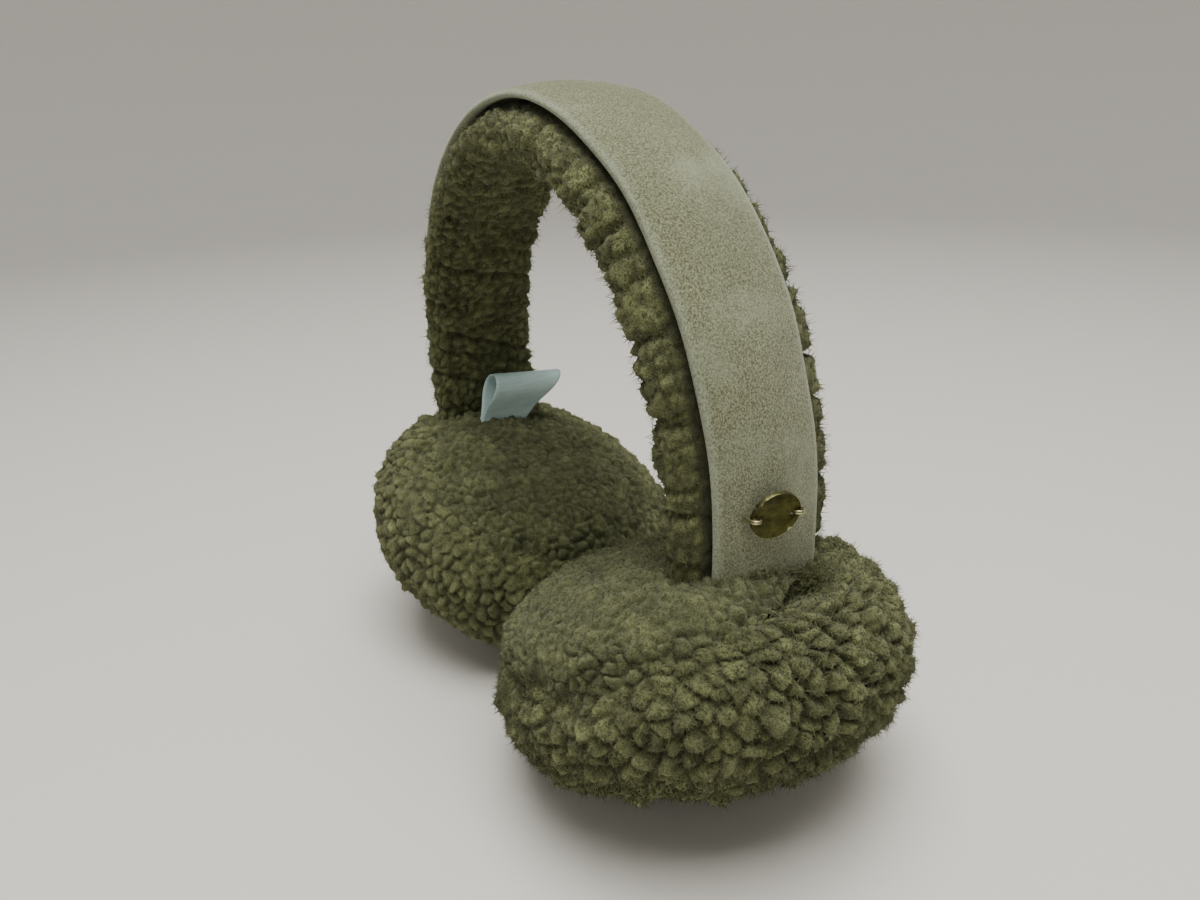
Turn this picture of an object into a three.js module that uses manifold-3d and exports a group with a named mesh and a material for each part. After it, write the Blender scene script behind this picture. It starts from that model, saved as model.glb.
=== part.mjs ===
// Fur earmuffs: a suede headband lined with fleece, standing on its two shearling ear pads.
// Millimetres, +Z up. X runs from ear to ear, Y from front to back, and the table is at Z = 0.
import * as THREE from 'three';
import { mergeVertices } from 'three/addons/utils/BufferGeometryUtils.js';
import Module from 'manifold-3d';

const wasm = await Module();
wasm.setup();

// Headband: its arch is taken at the edges of the suede
const ARCH_HALF_WIDTH = 91.4;
const ARCH_RISE = 108.8;
const LEG_RISE = 45;
const LEG_SWEEP = 168;
const ARCH_LEAN = 0.04;

const BAND_WIDTH = 38;
const SUEDE_WALL = 2;
const SUEDE_CROWN = 2.2;
const SUEDE_LIP = 2.8;

const FLEECE_THICKNESS = 18;
const FLEECE_OVERHANG = 8;
const LOBE_DEPTH = 2.2;
const LOBE_SPACING = 21;
const FLEECE_TAIL = 12;
const LEG_SINK = 30;

// Ear pads: a flattened round body, measured over the wool
const PAD_RADIUS = 65.8;
const PAD_HALF_THICKNESS = 38.8;
const PAD_FULLNESS = 2.27;
const PAD_BASE_SINK = 4;
const PAD_LEAN_RISE = 12;
const PAD_SEGMENTS = 18;
const SEAM_DISTANCE = 28;
const SEAM_DEPTH = 4.5;
const SEAM_SPREAD = 0.2;
const EAR_PILE = 0.5;

// Wool locks
const PAD_LOCK_LENGTH = 9;
const PAD_LOCK_RADIUS = 7.6;
const PAD_LOCK_SPACING = 19.5;
const BAND_LOCK_LENGTH = 5;
const BAND_LOCK_RADIUS = 4.6;
const BAND_LOCK_SPACING = 21;
const LOCK_SIDES = 5;
const LOCK_SINK = 3;
const LOCK_WAIST = 0.8;
const LOCK_WAIST_AT = 0.55;
const LOCK_ROOT = 0.75;
const LOCK_DROOP = 0.18;
const LENGTH_SCATTER = 0.2;
const RADIUS_SCATTER = 0.15;

// Button, its wire loops and the care label
const BUTTON_DIAMETER = 14.6;
const BUTTON_THICKNESS = 1.2;
const BUTTON_RIM = 0.8;
const BUTTON_EDGE = 0.4;
const BUTTON_RECESS = 0.3;
const BUTTON_HOLE = 2.2;
const BUTTON_HOLE_REACH = 5.3;
const BUTTON_ABOVE_PAD = 18;
const BUTTON_OFFSET = -3;
const BUTTON_TILT = 13.5;
const BUTTON_TURN = 13;
const LOOP_WIRE = 0.8;
const LOOP_REACH = 1.6;
const LABEL_WIDTH = 31;
const LABEL_RISE = 20;
const LABEL_SLANT = 12;
const LABEL_FOOT_WIDTH = 23;
const LABEL_FOLD = 11;
const LABEL_DROP = 4;
const LABEL_WALL = 1;
const LABEL_TAIL = 5;
const LABEL_FORWARD = 2.6;

// Clearance between neighbouring pieces
const GAP = 0.35;

// Where each pad sits. Centre is a share of the arch's half width, front a share of the pad's radius.
// Tilt leans its axis inward and roll to the front, in degrees; seam in and front lean the seam's own axis.
const PADS = [
  { name: 'right', side: 1, centre: 0.686, front: -0.044, tilt: 24.7, roll: 8.9, seamIn: 20, seamFront: 17 },
  { name: 'left', side: -1, centre: 0.606, front: 0.036, tilt: 22.2, roll: 15.4, seamIn: 26, seamFront: -8 },
];

const TAU = Math.PI * 2;
const rad = THREE.MathUtils.degToRad;
const Y_AXIS = new THREE.Vector3(0, 1, 0);

// The pads lean, so their ear sides reach higher than they are thick, and the band's legs sink into them
const PAD_TOP = 2 * PAD_HALF_THICKNESS + PAD_LEAN_RISE;
const LEG_END_HEIGHT = PAD_TOP - LEG_SINK;
const SPRING_HEIGHT = LEG_END_HEIGHT + LEG_RISE;

// Repeatable scatter between -1 and 1, so that the wool comes out the same each time
function makeScatter(seed) {
  let state = seed;
  return () => {
    state = (state * 1664525 + 1013904223) % 4294967296;
    return (state / 4294967296) * 2 - 1;
  };
}

function material(color, roughness, metalness = 0) {
  return new THREE.MeshStandardMaterial({ color, roughness, metalness, side: THREE.FrontSide });
}

const MATERIALS = {
  fleece: material(0x6d6450, 1),
  earFleece: material(0x746b57, 1),
  suede: material(0x84776a, 0.95),
  brass: material(0x5d4f30, 0.45, 0.9),
  wire: material(0xb59f6b, 0.4, 0.8),
  satin: material(0xc9d3d8, 0.4),
};

// Closed meshes become solids for cutting and joining, and solids become geometry again
function solidFromArrays(points, faces) {
  const volume = faces.reduce((sum, [a, b, c]) => {
    return sum + points[a].dot(new THREE.Vector3().crossVectors(points[b], points[c]));
  }, 0);
  const outward = volume < 0 ? faces.map(([a, b, c]) => [a, c, b]) : faces;
  return new wasm.Manifold(new wasm.Mesh({
    numProp: 3,
    vertProperties: new Float32Array(points.flatMap((p) => [p.x, p.y, p.z])),
    triVerts: new Uint32Array(outward.flat()),
  }));
}

function solidFromGeometry(geometry) {
  const bare = geometry.index ? geometry.toNonIndexed() : geometry.clone();
  bare.deleteAttribute('normal');
  bare.deleteAttribute('uv');
  const merged = mergeVertices(bare, 1e-4);
  const at = merged.getAttribute('position');
  const points = [];
  for (let i = 0; i < at.count; i += 1) {
    points.push(new THREE.Vector3().fromBufferAttribute(at, i));
  }
  const faces = [];
  for (let i = 0; i < merged.index.count; i += 3) {
    const face = [merged.index.getX(i), merged.index.getX(i + 1), merged.index.getX(i + 2)];
    if (new Set(face).size === 3) faces.push(face);
  }
  return solidFromArrays(points, faces);
}

function geometryFromSolid(solid) {
  const mesh = solid.getMesh();
  const geometry = new THREE.BufferGeometry();
  geometry.setAttribute('position', new THREE.BufferAttribute(new Float32Array(mesh.vertProperties), 3));
  geometry.setIndex(new THREE.BufferAttribute(new Uint32Array(mesh.triVerts), 1));
  geometry.computeVertexNormals();
  return geometry;
}

function joinAll(solids) {
  return wasm.Manifold.union(solids);
}

// Skin a closed body over rings that have equally many points
function skinRings(rings, startPole = null, endPole = null) {
  const points = rings.flat();
  const count = rings[0].length;
  const faces = [];
  for (let i = 0; i + 1 < rings.length; i += 1) {
    for (let j = 0; j < count; j += 1) {
      const a = i * count + j;
      const b = i * count + ((j + 1) % count);
      faces.push([a, b, b + count], [a, b + count, a + count]);
    }
  }
  const capWithPole = (pole, ring, flip) => {
    const at = points.push(pole) - 1;
    for (let j = 0; j < count; j += 1) {
      const a = ring * count + j;
      const b = ring * count + ((j + 1) % count);
      faces.push(flip ? [a, b, at] : [b, a, at]);
    }
  };
  if (startPole) capWithPole(startPole, 0, false);
  if (endPole) capWithPole(endPole, rings.length - 1, true);
  return { points, faces };
}

// The arch's middle line, from the left leg's end over the crown to the right leg's end
class ArchCurve extends THREE.Curve {
  getPoint(t, target = new THREE.Vector3()) {
    const legAngle = Math.asin(LEG_RISE / LEG_SWEEP);
    const angle = (t * 2 - 1) * (Math.PI / 2 + legAngle);
    const rise = Math.cos(angle) > 0 ? ARCH_RISE : LEG_SWEEP;
    return target.set(ARCH_HALF_WIDTH * Math.sin(angle), 0, SPRING_HEIGHT + rise * Math.cos(angle));
  }
}

const arch = new ArchCurve();
arch.arcLengthDivisions = 400;
const ARCH_LENGTH = arch.getLength();

// A point on the band: u along the arch, across its width, and out from the arch line. Past the arch's
// ends the band runs straight on.
function onBand(u, across, out) {
  const within = THREE.MathUtils.clamp(u, 0, 1);
  const tangent = arch.getTangentAt(within);
  const point = arch.getPointAt(within).addScaledVector(tangent, (u - within) * ARCH_LENGTH);
  const outward = new THREE.Vector3().crossVectors(tangent, Y_AXIS).normalize();
  point.addScaledVector(outward, out);
  point.y += across - ARCH_LEAN * (point.z - LEG_END_HEIGHT);
  return point;
}

function outwardAt(u, across, out) {
  const spread = new THREE.Vector3(0, across, 0);
  const outward = new THREE.Vector3().crossVectors(arch.getTangentAt(u), Y_AXIS).normalize();
  return spread.addScaledVector(outward, out).normalize();
}

// Stations along the band: a crease or a crest of the fleece's lobes at each, and the suede's two tails
const LOBES = Math.round((ARCH_LENGTH - 2 * FLEECE_TAIL) / LOBE_SPACING);
const FLEECE_FROM = FLEECE_TAIL / ARCH_LENGTH;
const FLEECE_STATIONS = Array.from({ length: 2 * LOBES + 1 }, (_, i) => {
  return FLEECE_FROM + ((1 - 2 * FLEECE_FROM) * i) / (2 * LOBES);
});
const SUEDE_STATIONS = [0, ...FLEECE_STATIONS, 1];

// Sweep a section along the arch; the section is a list of [across, out] pairs
function sweepBand(section, stations) {
  const rings = stations.map((u, i) => section(i).map(([across, out]) => onBand(u, across, out)));
  const { points, faces } = skinRings(rings);
  const flat = section(0).map(([across, out]) => new THREE.Vector2(across, out));
  const cap = THREE.ShapeUtils.triangulateShape(flat, []);
  const last = (stations.length - 1) * flat.length;
  const clockwise = THREE.ShapeUtils.isClockWise(flat);
  for (const [a, b, c] of cap) {
    faces.push(clockwise ? [a, b, c] : [a, c, b]);
    faces.push(clockwise ? [last + a, last + c, last + b] : [last + a, last + b, last + c]);
  }
  return solidFromArrays(points, faces);
}

// Suede: a crowned strip with its edges turned in, open towards the fleece
const CROWN_SHARES = [-1, -0.6, 0, 0.6, 1];

function crownLine(halfWidth, level, height) {
  return CROWN_SHARES.map((share) => [share * halfWidth, level + height * (1 - share * share)]);
}

function suedeSection() {
  const half = BAND_WIDTH / 2;
  const inner = half - SUEDE_WALL;
  const outerLine = crownLine(half, 0, SUEDE_CROWN);
  const innerLine = crownLine(inner, -SUEDE_WALL, SUEDE_CROWN).reverse();
  return [[-half, -SUEDE_LIP], ...outerLine, [half, -SUEDE_LIP], [inner, -SUEDE_LIP], ...innerLine,
    [-inner, -SUEDE_LIP]];
}

// Fleece: a core that fills the suede's channel, wings beside its edges and a rounded inner face.
// Columns: share of the half width up to the suede's edge, share of the overhang, share of the thickness.
const FLEECE_ROUND = [
  [1, 0.4, 0.04],
  [1, 1, 0.3],
  [0.95, 0.9, 0.74],
  [0.62, 0.5, 0.97],
  [0, 0, 1.03],
];

function fleeceWing(overhang, deep) {
  return FLEECE_ROUND.map(([edge, over, down]) => [
    edge * (BAND_WIDTH / 2 + GAP) + over * (overhang - GAP), -down * deep,
  ]);
}

function mirrorAcross(line) {
  return line.map(([across, out]) => [-across, out]).reverse();
}

// How far the wool stands past the suede's edges and how thick it is, as shares of the named sizes
const FLEECE_GROWTH = [
  { along: 0, front: 0.5, back: 0.5, thick: 1 },
  { along: 0.36, front: 0.5, back: 0.55, thick: 1.05 },
  { along: 0.5, front: 0.7, back: 0.8, thick: 1.25 },
  { along: 0.64, front: 1, back: 1.45, thick: 1.2 },
  { along: 1, front: 1, back: 1.6, thick: 1.15 },
];

function fleeceGrowth(u) {
  const next = FLEECE_GROWTH.findIndex((row, i) => i > 0 && u <= row.along);
  const [low, high] = [FLEECE_GROWTH[next - 1], FLEECE_GROWTH[next]];
  const share = (u - low.along) / (high.along - low.along);
  const between = (key) => THREE.MathUtils.lerp(low[key], high[key], share);
  return { front: between('front'), back: between('back'), thick: between('thick') };
}

// Every second station is a crease between two lobes
function fleeceSection(station) {
  const crease = station % 2 === 0 ? LOBE_DEPTH : 0;
  const { front, back, thick } = fleeceGrowth(FLEECE_STATIONS[station]);
  const deep = thick * FLEECE_THICKNESS - crease;
  const core = BAND_WIDTH / 2 - SUEDE_WALL - GAP;
  const lip = BAND_WIDTH / 2 + GAP;
  const channel = [[core, -SUEDE_WALL - GAP], [core, -SUEDE_LIP - GAP], [lip, -SUEDE_LIP - GAP]];
  const backSide = [...channel, ...fleeceWing(back * FLEECE_OVERHANG - crease, deep)];
  const frontSide = [...channel, ...fleeceWing(front * FLEECE_OVERHANG - crease, deep).slice(0, -1)];
  const crown = [0, -SUEDE_WALL - GAP + SUEDE_CROWN * 0.9];
  return [crown, ...backSide, ...mirrorAcross(frontSide)];
}

// The pockets that the ends of the fleece and the suede leave in the pads, with clearance
function pocketSection(u) {
  const { front, back, thick } = fleeceGrowth(u);
  const deep = thick * FLEECE_THICKNESS + GAP;
  const top = crownLine(BAND_WIDTH / 2 + GAP, GAP, SUEDE_CROWN);
  const frontSide = fleeceWing(front * FLEECE_OVERHANG + GAP, deep).slice(0, -1);
  return [...top, ...fleeceWing(back * FLEECE_OVERHANG + GAP, deep), ...mirrorAcross(frontSide)];
}

function tailSection() {
  const half = BAND_WIDTH / 2 + GAP;
  return [[-half, -SUEDE_LIP - GAP], ...crownLine(half, GAP, SUEDE_CROWN), [half, -SUEDE_LIP - GAP]];
}

// A wool lock: a short tapered cone with a blunt tip, its root sunk into what carries it
function woolLock(root, direction, length, radius) {
  const profile = [
    [0, -LOCK_SINK],
    [radius, -LOCK_SINK],
    [radius * LOCK_WAIST, length * LOCK_WAIST_AT],
    [0, length],
  ].map(([x, y]) => new THREE.Vector2(x, y));
  const geometry = new THREE.LatheGeometry(profile, LOCK_SIDES);
  const turn = new THREE.Quaternion().setFromUnitVectors(Y_AXIS, direction.clone().normalize());
  geometry.applyQuaternion(turn);
  geometry.translate(root.x, root.y, root.z);
  return solidFromGeometry(geometry);
}

// Ear pad: directions are measured about the seam's axis, so one ring of points is the seam itself
function layPad(row) {
  const tilt = new THREE.Matrix4().makeRotationY(rad(-row.tilt) * row.side);
  const roll = new THREE.Matrix4().makeRotationX(rad(-row.roll));
  const turn = roll.multiply(tilt);
  const back = turn.clone().invert();
  const seamTurn = new THREE.Matrix4().makeRotationX(rad(row.seamFront))
    .multiply(new THREE.Matrix4().makeRotationY(rad(-row.seamIn) * row.side));
  const reach = (direction) => {
    const local = direction.clone().applyMatrix4(back);
    const round = Math.hypot(local.x, local.y) / PAD_RADIUS;
    const flat = Math.abs(local.z) / PAD_HALF_THICKNESS;
    return (round ** PAD_FULLNESS + flat ** PAD_FULLNESS) ** (-1 / PAD_FULLNESS);
  };
  const aim = (angle, around) => new THREE.Vector3(
    Math.sin(angle) * Math.cos(around), Math.sin(angle) * Math.sin(around), Math.cos(angle),
  ).applyMatrix4(seamTurn);
  let low = 0;
  for (let i = 0; i <= 60; i += 1) {
    for (let j = 0; j < 60; j += 1) {
      const direction = aim((Math.PI * i) / 60, (TAU * j) / 60);
      low = Math.min(low, direction.z * reach(direction));
    }
  }
  const centre = new THREE.Vector3(
    row.side * row.centre * ARCH_HALF_WIDTH, row.front * PAD_RADIUS, -low - PAD_BASE_SINK,
  );
  return { ...row, centre, aim, reach, seamAxis: aim(0, 0) };
}

// How far the backing lies under the wool's outline: not at all where the table presses the wool flat,
// which is where its directions point lower than the first value
const PRESSED_BELOW = -0.85;
const FREE_ABOVE = -0.55;

function backingReach(pad, direction, under) {
  const free = THREE.MathUtils.smoothstep(direction.z, PRESSED_BELOW, FREE_ABOVE);
  return pad.reach(direction) - under * free;
}

// The angle from the seam's axis at which the backing crosses a plane across that axis
function seamAngle(pad, around, distance, under) {
  let near = 0;
  let far = Math.PI / 2;
  for (let i = 0; i < 30; i += 1) {
    const middle = (near + far) / 2;
    const direction = pad.aim(middle, around);
    if (backingReach(pad, direction, under) * Math.cos(middle) > distance) near = middle;
    else far = middle;
  }
  return near;
}

// A point of the backing, drawn in towards the seam's axis near the seam
function backingPoint(pad, angle, around, seam, under) {
  const direction = pad.aim(angle, around);
  const point = pad.centre.clone().addScaledVector(direction, backingReach(pad, direction, under));
  const pinch = SEAM_DEPTH * Math.exp(-(((angle - seam) / SEAM_SPREAD) ** 2));
  const outward = pad.aim(Math.PI / 2, around);
  return point.addScaledVector(outward, -pinch * Math.min(1, Math.sin(angle) * 3));
}

function padRing(pad, share, outside, under, distance) {
  const ring = [];
  for (let j = 0; j < PAD_SEGMENTS; j += 1) {
    const around = (TAU * j) / PAD_SEGMENTS;
    const seam = seamAngle(pad, around, distance, under);
    const angle = outside ? seam + (Math.PI - seam) * share : seam * share;
    ring.push(backingPoint(pad, angle, around, seam, under));
  }
  return ring;
}

const OUTER_RINGS = [0, 0.1, 0.22, 0.36, 0.5, 0.64, 0.78, 0.9];
const EAR_RINGS = [0.35, 0.65, 0.88, 1];

function padBacking(pad, outside) {
  const shares = outside ? OUTER_RINGS : EAR_RINGS;
  const under = outside ? PAD_LOCK_LENGTH * LOCK_WAIST_AT : EAR_PILE;
  const distance = SEAM_DISTANCE + (outside ? -GAP / 2 : GAP / 2);
  const rings = shares.map((share) => padRing(pad, share, outside, under, distance));
  const seamPole = pad.centre.clone().addScaledVector(pad.seamAxis, distance);
  const farPole = backingPoint(pad, outside ? Math.PI : 0, 0, Math.PI / 3, under);
  const poles = outside ? [seamPole, farPole] : [farPole, seamPole];
  const { points, faces } = skinRings(rings, ...poles);
  return solidFromArrays(points, faces);
}

// Evenly spread directions over the pad, kept where the outer cover shows
function padLocks(pad, scatter) {
  const area = 2 * Math.PI * PAD_RADIUS * (PAD_RADIUS * 0.75 + PAD_HALF_THICKNESS * 0.6);
  const count = Math.round(area / PAD_LOCK_SPACING ** 2);
  const locks = [];
  for (let i = 0; i < count; i += 1) {
    const height = 1 - (2 * (i + 0.5)) / count;
    const around = i * Math.PI * (3 - Math.sqrt(5));
    const flatter = new THREE.Vector3(
      Math.sqrt(1 - height * height) * Math.cos(around) * PAD_RADIUS,
      Math.sqrt(1 - height * height) * Math.sin(around) * PAD_RADIUS,
      height * PAD_HALF_THICKNESS,
    ).normalize();
    const direction = flatter.add(new THREE.Vector3(scatter(), scatter(), scatter()).multiplyScalar(0.05));
    direction.normalize();
    const surface = pad.centre.clone().addScaledVector(direction, pad.reach(direction));
    const aboveSeam = surface.clone().sub(pad.centre).dot(pad.seamAxis) - SEAM_DISTANCE;
    const length = PAD_LOCK_LENGTH * (1 + LENGTH_SCATTER * scatter());
    const radius = PAD_LOCK_RADIUS * (1 + RADIUS_SCATTER * scatter());
    if (aboveSeam > -PAD_LOCK_RADIUS || surface.z < 1) continue;
    const root = surface.clone().addScaledVector(direction, -PAD_LOCK_LENGTH * LOCK_ROOT);
    const hang = direction.clone().add(new THREE.Vector3(0.1 * scatter(), 0.1 * scatter(), -LOCK_DROOP));
    locks.push(woolLock(root, hang, length, radius));
  }
  return locks;
}

// A large block from a corner to a corner, for cutting
function block(x0, y0, z0, x1, y1, z1) {
  const geometry = new THREE.BoxGeometry(x1 - x0, y1 - y0, z1 - z0);
  geometry.translate((x0 + x1) / 2, (y0 + y1) / 2, (z0 + z1) / 2);
  return solidFromGeometry(geometry);
}

const FAR = 4 * (ARCH_HALF_WIDTH + PAD_RADIUS);

function keepAboveTable(solid, side) {
  const inner = GAP / 2;
  const room = side > 0 ? block(inner, -FAR, 0, FAR, FAR, FAR) : block(-FAR, -FAR, 0, -inner, FAR, FAR);
  return solid.intersect(room);
}

// Headband solids
const suede = sweepBand(suedeSection, SUEDE_STATIONS);
const fleeceSweep = sweepBand(fleeceSection, FLEECE_STATIONS);

// Where a row of locks stands on the band's fleece, every second row with its inner lock on the other side.
// Across is a share of the half width, down a share of the thickness, and the leans give its direction.
const BAND_LOCK_PLACES = [-1, 1].map((side) => [
  { across: -0.97, down: 0.6, leanAcross: -1, leanOut: 0.1 },
  { across: 0.45 * side, down: 0.95, leanAcross: 0.27 * side, leanOut: -1 },
  { across: 0.97, down: 0.6, leanAcross: 1, leanOut: 0.1 },
]);

// How much of each leg stays free of locks, as a share of the stretch inside the pad
const BARE_LEG = 1.25;

function bandLocks(scatter) {
  const clear = LEG_SINK * BARE_LEG;
  const length = ARCH_LENGTH - 2 * clear;
  const rows = Math.round(length / BAND_LOCK_SPACING);
  const locks = [];
  for (let i = 0; i <= rows; i += 1) {
    for (const { across, down, leanAcross, leanOut } of BAND_LOCK_PLACES[i % 2]) {
      const u = (clear + ((i + 0.2 * scatter()) * length) / rows) / ARCH_LENGTH;
      const { front, back, thick } = fleeceGrowth(u);
      const half = BAND_WIDTH / 2 + (across < 0 ? front : back) * FLEECE_OVERHANG - LOBE_DEPTH;
      const root = onBand(u, across * half, -down * (thick * FLEECE_THICKNESS - LOBE_DEPTH));
      const direction = outwardAt(u, leanAcross + 0.2 * scatter(), leanOut + 0.2 * scatter());
      const long = BAND_LOCK_LENGTH * (1 + LENGTH_SCATTER * scatter());
      locks.push(woolLock(root, direction, long, BAND_LOCK_RADIUS * (1 + RADIUS_SCATTER * scatter())));
    }
  }
  return locks;
}

const fleece = joinAll([fleeceSweep, ...bandLocks(makeScatter(7))]);

// Pads with pockets for the band's ends
const POCKET_END = FLEECE_FROM - GAP / ARCH_LENGTH;
const TAIL_END = -GAP / ARCH_LENGTH;
const POCKET_STATIONS = [POCKET_END, ...FLEECE_STATIONS, 1 - POCKET_END];
const fleecePocket = sweepBand((i) => pocketSection(POCKET_STATIONS[i]), POCKET_STATIONS);
const suedePocket = sweepBand(tailSection, [TAIL_END, ...FLEECE_STATIONS, 1 - TAIL_END]);
const pads = PADS.map((row) => layPad(row));

// The care label: a tape folded into a loop, slanting as it rises, its ends sewn in by the foot
const labelPad = pads[1];

function labelOutline(grow) {
  const half = LABEL_FOLD / 2 + grow;
  const top = LABEL_RISE + grow;
  const foot = LABEL_WALL + GAP / 2 + grow;
  const outline = new THREE.Shape();
  outline.moveTo(-foot, -LABEL_TAIL - grow);
  outline.lineTo(-foot, 0);
  outline.bezierCurveTo(-foot, top * 0.35, -half, top * 0.45, -half, top - half);
  outline.absarc(0, top - half, half, Math.PI, 0, true);
  outline.bezierCurveTo(half, top * 0.45, foot, top * 0.35, foot, 0);
  outline.lineTo(foot, -LABEL_TAIL - grow);
  return outline;
}

function labelSolid(grow, wall) {
  const outline = labelOutline(grow).getPoints(5);
  if (wall) {
    const inner = labelOutline(-LABEL_WALL).getPoints(5).reverse();
    inner[0].y = -LABEL_TAIL - grow;
    inner[inner.length - 1].y = -LABEL_TAIL - grow;
    outline.push(...inner);
  }
  const shape = new THREE.Shape(outline);
  const width = LABEL_WIDTH + 2 * grow;
  const geometry = new THREE.ExtrudeGeometry(shape, { depth: width, bevelEnabled: false, steps: 1 });
  geometry.translate(0, 0, -width / 2);
  geometry.rotateX(Math.PI / 2);
  const at = geometry.getAttribute('position');
  for (let i = 0; i < at.count; i += 1) {
    const up = at.getZ(i) / LABEL_RISE;
    const spread = THREE.MathUtils.lerp(LABEL_FOOT_WIDTH / LABEL_WIDTH, 1, up);
    const drop = LABEL_DROP * (at.getY(i) / LABEL_WIDTH + 0.5) * Math.max(up, 0);
    at.setY(i, at.getY(i) * spread + LABEL_SLANT * up);
    at.setZ(i, at.getZ(i) - drop);
  }
  return solidFromGeometry(geometry);
}

const labelX = -(ARCH_HALF_WIDTH - FLEECE_THICKNESS - LABEL_FOLD);
const labelY = -LABEL_FORWARD;

// The height of a pad's ear side over a place on the table
function earHeight(pad, x, y) {
  let low = pad.centre.z;
  let high = PAD_TOP + PAD_HALF_THICKNESS;
  for (let i = 0; i < 30; i += 1) {
    const middle = (low + high) / 2;
    const arm = new THREE.Vector3(x, y, middle).sub(pad.centre);
    const distance = arm.length();
    if (distance < pad.reach(arm.normalize()) - EAR_PILE) low = middle;
    else high = middle;
  }
  return low;
}

const labelZ = earHeight(labelPad, labelX, labelY);
const label = labelSolid(0, true).translate([labelX, labelY, labelZ]);
const labelPocket = labelSolid(GAP, false).translate([labelX, labelY, labelZ]);

const padSolids = pads.map((pad, index) => {
  const locks = padLocks(pad, makeScatter(11 + index));
  const cut = (solid) => keepAboveTable(solid, pad.side)
    .subtract(fleecePocket).subtract(suedePocket).subtract(labelPocket);
  return { pad, outer: cut(joinAll([padBacking(pad, true), ...locks])), ear: cut(padBacking(pad, false)) };
});

// Button on the right leg. It hangs on its loops with its lower front edge on the suede, so it
// tilts and turns. In the suede's own frame x runs across the band, y along it and z out of it.
const buttonAt = 1 - (LEG_SINK + BUTTON_ABOVE_PAD) / ARCH_LENGTH;
const suedeLevel = SUEDE_CROWN * (1 - (2 * BUTTON_OFFSET / BAND_WIDTH) ** 2);
const turnSine = Math.sin(rad(BUTTON_TURN));
const turnCosine = Math.cos(rad(BUTTON_TURN));
const buttonLean = Math.acos(turnCosine * Math.cos(rad(BUTTON_TILT)));
const buttonLift = (BUTTON_DIAMETER / 2) * Math.sin(buttonLean) + GAP;

function suedeFrame() {
  const out = outwardAt(buttonAt, 0, 1);
  const along = new THREE.Vector3().crossVectors(out, Y_AXIS).normalize();
  const seat = onBand(buttonAt, BUTTON_OFFSET, suedeLevel);
  return new THREE.Matrix4().makeBasis(Y_AXIS, along, out).setPosition(seat);
}

function buttonFrame() {
  const lift = new THREE.Matrix4().makeTranslation(0, 0, buttonLift);
  const tilt = new THREE.Matrix4().makeRotationX(rad(BUTTON_TILT));
  const turn = new THREE.Matrix4().makeRotationY(-rad(BUTTON_TURN));
  return suedeFrame().multiply(lift).multiply(tilt).multiply(turn);
}

function buttonSolid() {
  const radius = BUTTON_DIAMETER / 2;
  const face = BUTTON_THICKNESS - BUTTON_RECESS;
  const profile = [
    [0, 0], [radius - BUTTON_EDGE, 0], [radius, BUTTON_EDGE], [radius, face],
    [radius - BUTTON_RECESS, BUTTON_THICKNESS], [radius - BUTTON_RIM, BUTTON_THICKNESS],
    [radius - BUTTON_RIM - BUTTON_RECESS, face], [0, face],
  ].map(([x, y]) => new THREE.Vector2(x, y));
  const disc = new THREE.LatheGeometry(profile, 24).rotateX(Math.PI / 2);
  let solid = solidFromGeometry(disc);
  for (const side of [-1, 1]) {
    const hole = new THREE.CylinderGeometry(BUTTON_HOLE / 2, BUTTON_HOLE / 2, 4 * BUTTON_THICKNESS, 10);
    hole.rotateX(Math.PI / 2).translate(side * BUTTON_HOLE_REACH, 0, 0);
    solid = solid.subtract(solidFromGeometry(hole));
  }
  return solid;
}

// A wire loop: down through the disc's hole, over its rim and down into the suede beside it
class StapleCurve extends THREE.Curve {
  constructor(side, reach) {
    super();
    this.side = side;
    this.reach = reach;
  }

  getPoint(t, target = new THREE.Vector3()) {
    const hole = BUTTON_HOLE_REACH * turnCosine - this.side * (BUTTON_THICKNESS / 2) * turnSine;
    const rim = (BUTTON_DIAMETER / 2) * turnCosine + BUTTON_THICKNESS * turnSine;
    const outside = rim + LOOP_WIRE / 2 + GAP;
    const middle = (hole + outside) / 2;
    const half = (outside - hole) / 2;
    const foot = -this.reach;
    const level = buttonLift + this.side * BUTTON_HOLE_REACH * turnSine;
    const shoulder = level + BUTTON_THICKNESS + LOOP_WIRE / 2 + GAP - half * 0.4;
    const straight = shoulder - foot;
    const bend = Math.PI * half;
    const way = t * (2 * straight + bend);
    if (way < straight) return target.set(this.side * hole, 0, foot + way);
    if (way > straight + bend) return target.set(this.side * outside, 0, foot + 2 * straight + bend - way);
    const turn = (way - straight) / half;
    const x = middle - half * Math.cos(turn);
    return target.set(this.side * x, 0, shoulder + half * Math.sin(turn));
  }
}

function loopSolid(side, wire, reach = LOOP_REACH) {
  const ring = [];
  for (let j = 0; j < 5; j += 1) {
    ring.push(new THREE.Vector2((wire / 2) * Math.cos((TAU * j) / 5), (wire / 2) * Math.sin((TAU * j) / 5)));
  }
  const extrudePath = new StapleCurve(side, reach);
  return solidFromGeometry(new THREE.ExtrudeGeometry(new THREE.Shape(ring), { steps: 12, extrudePath }));
}

const loops = [-1, 1].map((side) => loopSolid(side, LOOP_WIRE).transform(suedeFrame().elements));
const needleHoles = [-1, 1].map((side) => {
  return loopSolid(side, LOOP_WIRE + 2 * GAP, LOOP_REACH + GAP).transform(suedeFrame().elements);
});
const suedeWithHoles = needleHoles.reduce((solid, hole) => solid.subtract(hole), suede);

// The assembly, set down with the middle of its footprint at the origin
const group = new THREE.Group();

function addPiece(name, solid, finish) {
  const mesh = new THREE.Mesh(geometryFromSolid(solid), finish);
  mesh.name = name;
  group.add(mesh);
}

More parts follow.
